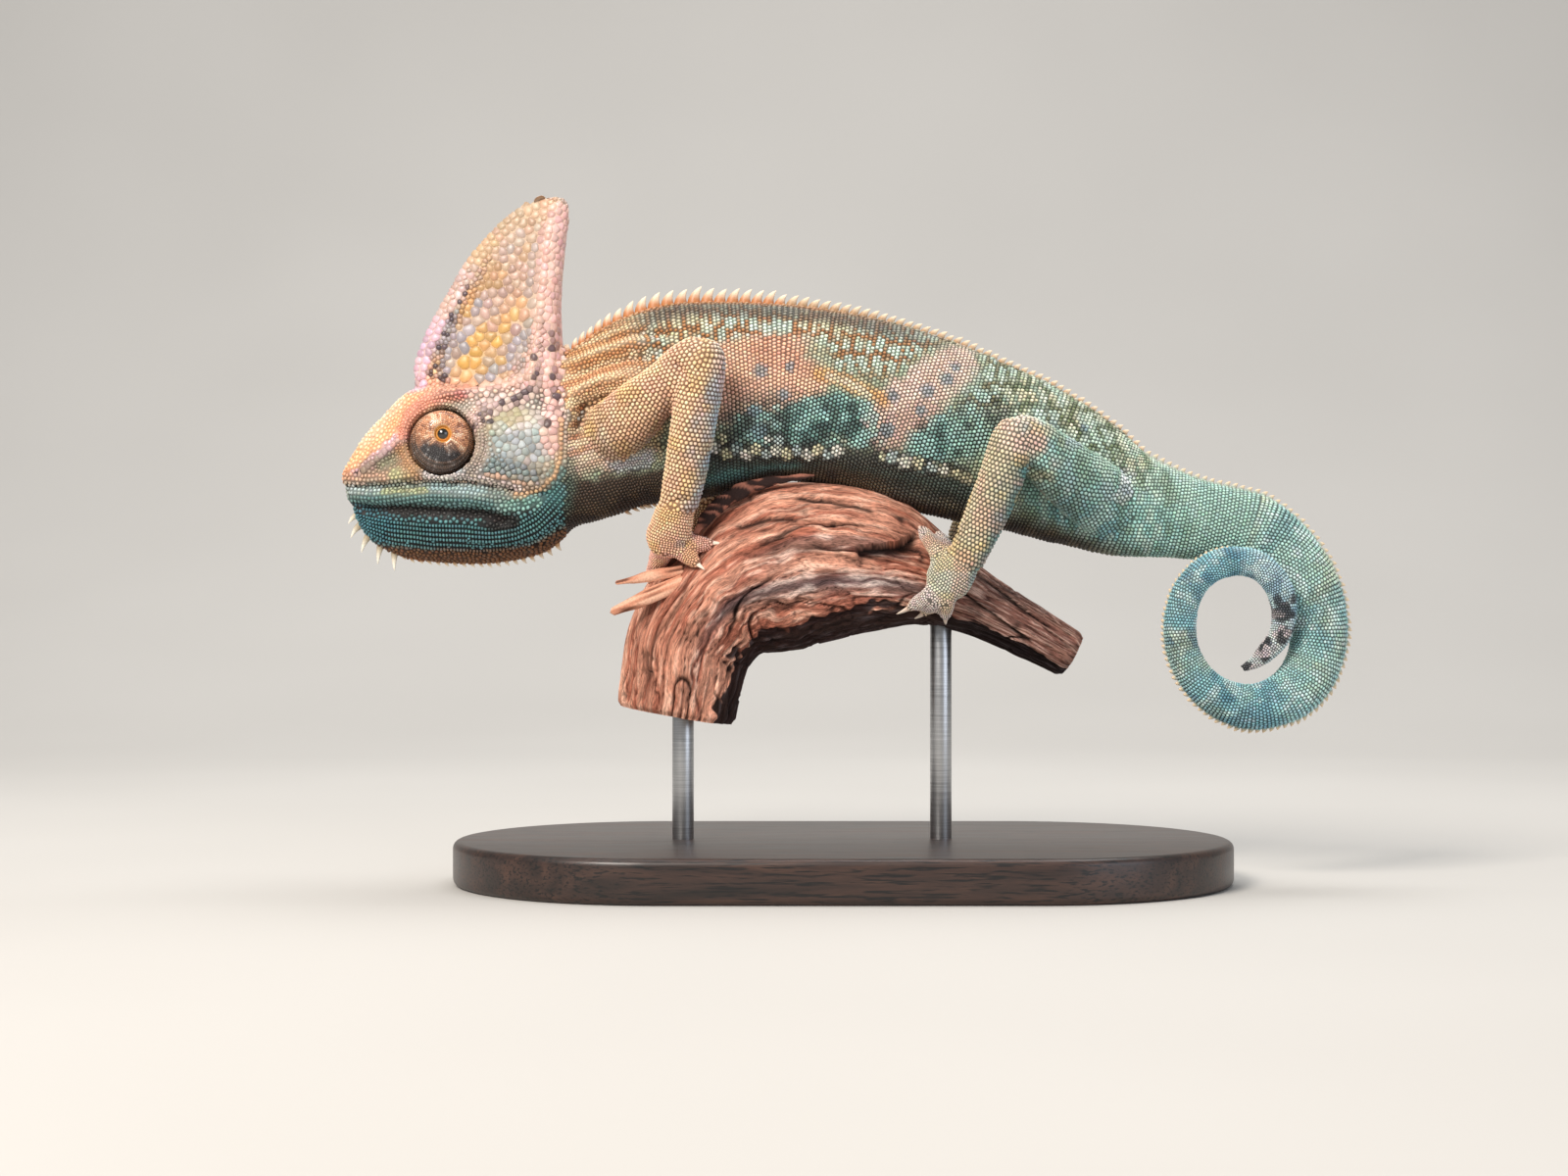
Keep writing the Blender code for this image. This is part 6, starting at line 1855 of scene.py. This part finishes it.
# skin between the scales: thin dry hide, dull, a little creased
dress([skin], wearsColour("reptileHide", 0.62, 0.08, 0.4, 0.06, 0.4))
# body scales: keratin, satin, with a faint sheen on each dome
dress(named("coat_"), wearsColour("keratinScales", 0.44, 0.07, 0.35, 0.03))
# casque plates: thicker keratin, smoother, a touch glossier
dress(named("coat_casque", "coat_cheek"), wearsColour("keratinPlates", 0.40, 0.07, 0.5, 0.04, 0.5, 0.08, 0.3))
# lids of the eye turret: tight skin with fine grains, slightly moist
dress(named("turret_"), wearsColour("lidSkin", 0.26, 0.05, 0.3, 0.03, 0.5, 0.7, 0.10))
# eyeball: wet cornea over a gold ring and a black pupil
dress(named("eyeball_"), wearsColour("wetEye", 0.08, 0.02, 0.6, 0.002, 0.6, 1, 0.02, 0.05))
# claws: translucent horn, smooth from wear
dress(named("claws_"), wearsColour("clawHorn", 0.34, 0.06, 0.3, 0.02))
# crest: soft keratin spines, chalky at their tips
dress(named("crest_"), wearsColour("crestKeratin", 0.48, 0.07, 0.3, 0.03))
# driftwood: dry weathered hardwood, no gloss, fine open fibres
dress(named("driftwood_"), wearsColour("weatheredDriftwood", 0.86, 0.06, 0.5, 0.22, 0.25, mottle=0.22))


def fibrousWood():
    # the same wood with its open fibres: lines 0.6 mm and 0.2 mm wide along the grain, in colour and relief
    made, tree, shader = material("fibrousDriftwood")
    colour = add(tree, "VertexColor", "Color", layer_name="Colour")
    place = add(tree, "Attribute", "Vector", attribute_name="Grain")  # in mm
    coarse = add(tree, "Mapping", "Vector", {"Vector": place, "Scale": (0.26, 1.7, 1.7)})
    finer = add(tree, "Mapping", "Vector", {"Vector": place, "Scale": (0.7, 4.6, 4.6)})
    one = add(tree, "TexNoise", "Fac",
              {"Vector": coarse, "Scale": 1, "Detail": 4, "Roughness": 0.65, "Distortion": 0.4})
    two = add(tree, "TexNoise", "Fac", {"Vector": finer, "Scale": 1, "Detail": 3, "Roughness": 0.6})
    both = add(tree, "Math", "Value", {0: one, 1: two}, operation="ADD")
    light = add(tree, "MapRange", "Result",
                {"Value": both, "From Min": 0.78, "From Max": 1.18, "To Min": 0.42, "To Max": 1.36})
    tinted = add(tree, "VectorMath", "Vector", {0: colour, "Scale": light}, operation="SCALE")
    gloss = add(tree, "MapRange", "Result", {"Value": one, "To Min": 0.78, "To Max": 0.95})
    bump = add(tree, "Bump", "Normal", {"Height": both, "Strength": 1, "Distance": 0.5 * mm})
    fill(tree, shader, {"Base Color": tinted, "Roughness": gloss, "Normal": bump, "Specular IOR Level": 0.25})
    return made


def stainedOak():
    # stained oak, lacquered: dark brown and satin, its grain along the board with pores 0.6 mm wide
    made, tree, shader = material("stainedOak")
    place = add(tree, "TexCoord", "Object")
    drawn = add(tree, "Mapping", "Vector", {"Vector": place, "Scale": (9, 90, 90)})
    figure = add(tree, "TexNoise", "Fac",
                 {"Vector": drawn, "Scale": 2.2, "Detail": 6, "Roughness": 0.62, "Distortion": 0.7})
    drawn = add(tree, "Mapping", "Vector", {"Vector": place, "Scale": (120, 1700, 1700)})
    pores = add(tree, "TexNoise", "Fac", {"Vector": drawn, "Scale": 1, "Detail": 2})
    base = add(tree, "ValToRGB", "Color", {"Fac": figure},
               ((0.30, "1d120d"), (0.5, "33211a"), (0.72, "4b3226")))
    poreShade = add(tree, "ValToRGB", "Color", {"Fac": pores}, ((0.36, "4a4a4a"), (0.48, "ffffff")))
    both = add(tree, "Mix", 2, {"Factor": 1, 6: base, 7: poreShade}, data_type="RGBA", blend_type="MULTIPLY")
    gloss = add(tree, "MapRange", "Result", {"Value": figure, "To Min": 0.34, "To Max": 0.52})
    bump = add(tree, "Bump", "Normal", {"Height": pores, "Strength": 0.35, "Distance": 0.1 * mm})
    fill(tree, shader, {"Base Color": both, "Roughness": gloss, "Normal": bump, "Coat Weight": 0.25,
                        "Coat Roughness": 0.25})
    return made


def brushedSteel():
    # stainless rod, drawn and brushed round its length: rings 0.2 mm wide in the relief and the gloss
    made, tree, shader = material("brushedSteel")
    place = add(tree, "TexCoord", "Object")
    drawn = add(tree, "Mapping", "Vector", {"Vector": place, "Scale": (60, 60, 5200)})
    lines = add(tree, "TexNoise", "Fac", {"Vector": drawn, "Scale": 1, "Detail": 3})
    tone = add(tree, "ValToRGB", "Color", {"Fac": lines}, ((0.3, "9d9ea0"), (0.7, "c6c7c8")))
    gloss = add(tree, "MapRange", "Result", {"Value": lines, "To Min": 0.24, "To Max": 0.42})
    bump = add(tree, "Bump", "Normal", {"Height": lines, "Strength": 0.2, "Distance": 0.03 * mm})
    fill(tree, shader, {"Base Color": tone, "Roughness": gloss, "Normal": bump, "Metallic": 1})
    return made


dress([driftwood], fibrousWood())
dress([board], stainedOak())
dress(named("stand_steel_"), brushedSteel())

print("floor, light and camera")
# from here on, metres
sweep = {"front": -3, "bend": 0.6, "radius": 0.9, "height": 4, "halfWidth": 4}
bends = np.radians(np.arange(6, 91, 6))
line = [(sweep["front"], 0), (sweep["bend"], 0)]
line += [(sweep["bend"] + sweep["radius"] * math.sin(a), sweep["radius"] * (1 - math.cos(a))) for a in bends]
line += [(sweep["bend"] + sweep["radius"], sweep["height"])]
across = np.linspace(-sweep["halfWidth"], sweep["halfWidth"], 9)
floorPoints = np.array([(x, y, z) for y, z in line for x in across]) / mm
floor = objectFrom("floorSweep", meshOf("floorSweep", floorPoints, gridFaces(len(line), len(across), False)))
# matte paper: an even warm grey that takes soft shadows
made, tree, shader = material("mattePaper")
place = add(tree, "TexCoord", "Object")
cloud = add(tree, "TexNoise", "Fac", {"Vector": place, "Scale": 3, "Detail": 2})
tone = add(tree, "ValToRGB", "Color", {"Fac": cloud}, ((0.3, "bfbcb7"), (0.7, "c5c2bd")))
fill(tree, shader, {"Base Color": tone, "Roughness": 0.9})
dress([floor], made)

world = bpy.data.worlds.new("softRoom")
bpy.context.scene.world = world
world.use_nodes = True
fill(world.node_tree, world.node_tree.nodes["Background"], {"Color": rgba("e9ebee"), "Strength": 0.46})

# each light: place, where it points, size, power, colour
softboxes = {
    "key": ((-0.50, -0.78, 0.80), (-0.02, 0, 0.11), (0.42, 0.42), 14.5, "fff7ee"),
    "fill": ((0.85, -0.75, 0.35), (0, 0, 0.1), (0.7, 0.7), 3.2, "e6f0ff"),
    "top": ((0.1, 0.25, 1.0), (0, 0, 0.1), (0.8, 0.6), 6.0, "ffffff"),
    "back": ((0.0, 0.35, 1.3), (0, 1.9, 0.35), (1.8, 0.5), 9.0, "ffffff"),
}
for name, (place, target, size, power, hexText) in softboxes.items():
    light = bpy.data.lights.new(name + "Softbox", "AREA")
    light.shape, light.size, light.size_y = "RECTANGLE", *size
    light.energy, light.color = power, linear(hexText)
    obj = objectFrom(name + "Softbox", light)
    obj.location = place
    obj.rotation_euler = (Vector(target) - Vector(place)).to_track_quat("-Z", "Y").to_euler()

shot = {"distance": 0.75, "middleX": -0.0162, "middleZ": 0.081, "wide": 0.432, "sensor": 36.0}
camera = bpy.data.cameras.new("camera")
cameraObj = objectFrom("camera", camera)
camera.sensor_width = shot["sensor"]
camera.lens = shot["sensor"] * shot["distance"] / shot["wide"]
camera.clip_start = 0.01
cameraObj.location = (shot["middleX"], -shot["distance"], shot["middleZ"])
cameraObj.rotation_euler = (math.pi / 2, 0, 0)
bpy.context.scene.camera = cameraObj
bpy.context.scene.view_settings.view_transform = "Standard"

for spare in [m for m in bpy.data.meshes if m.users == 0]:
    bpy.data.meshes.remove(spare)
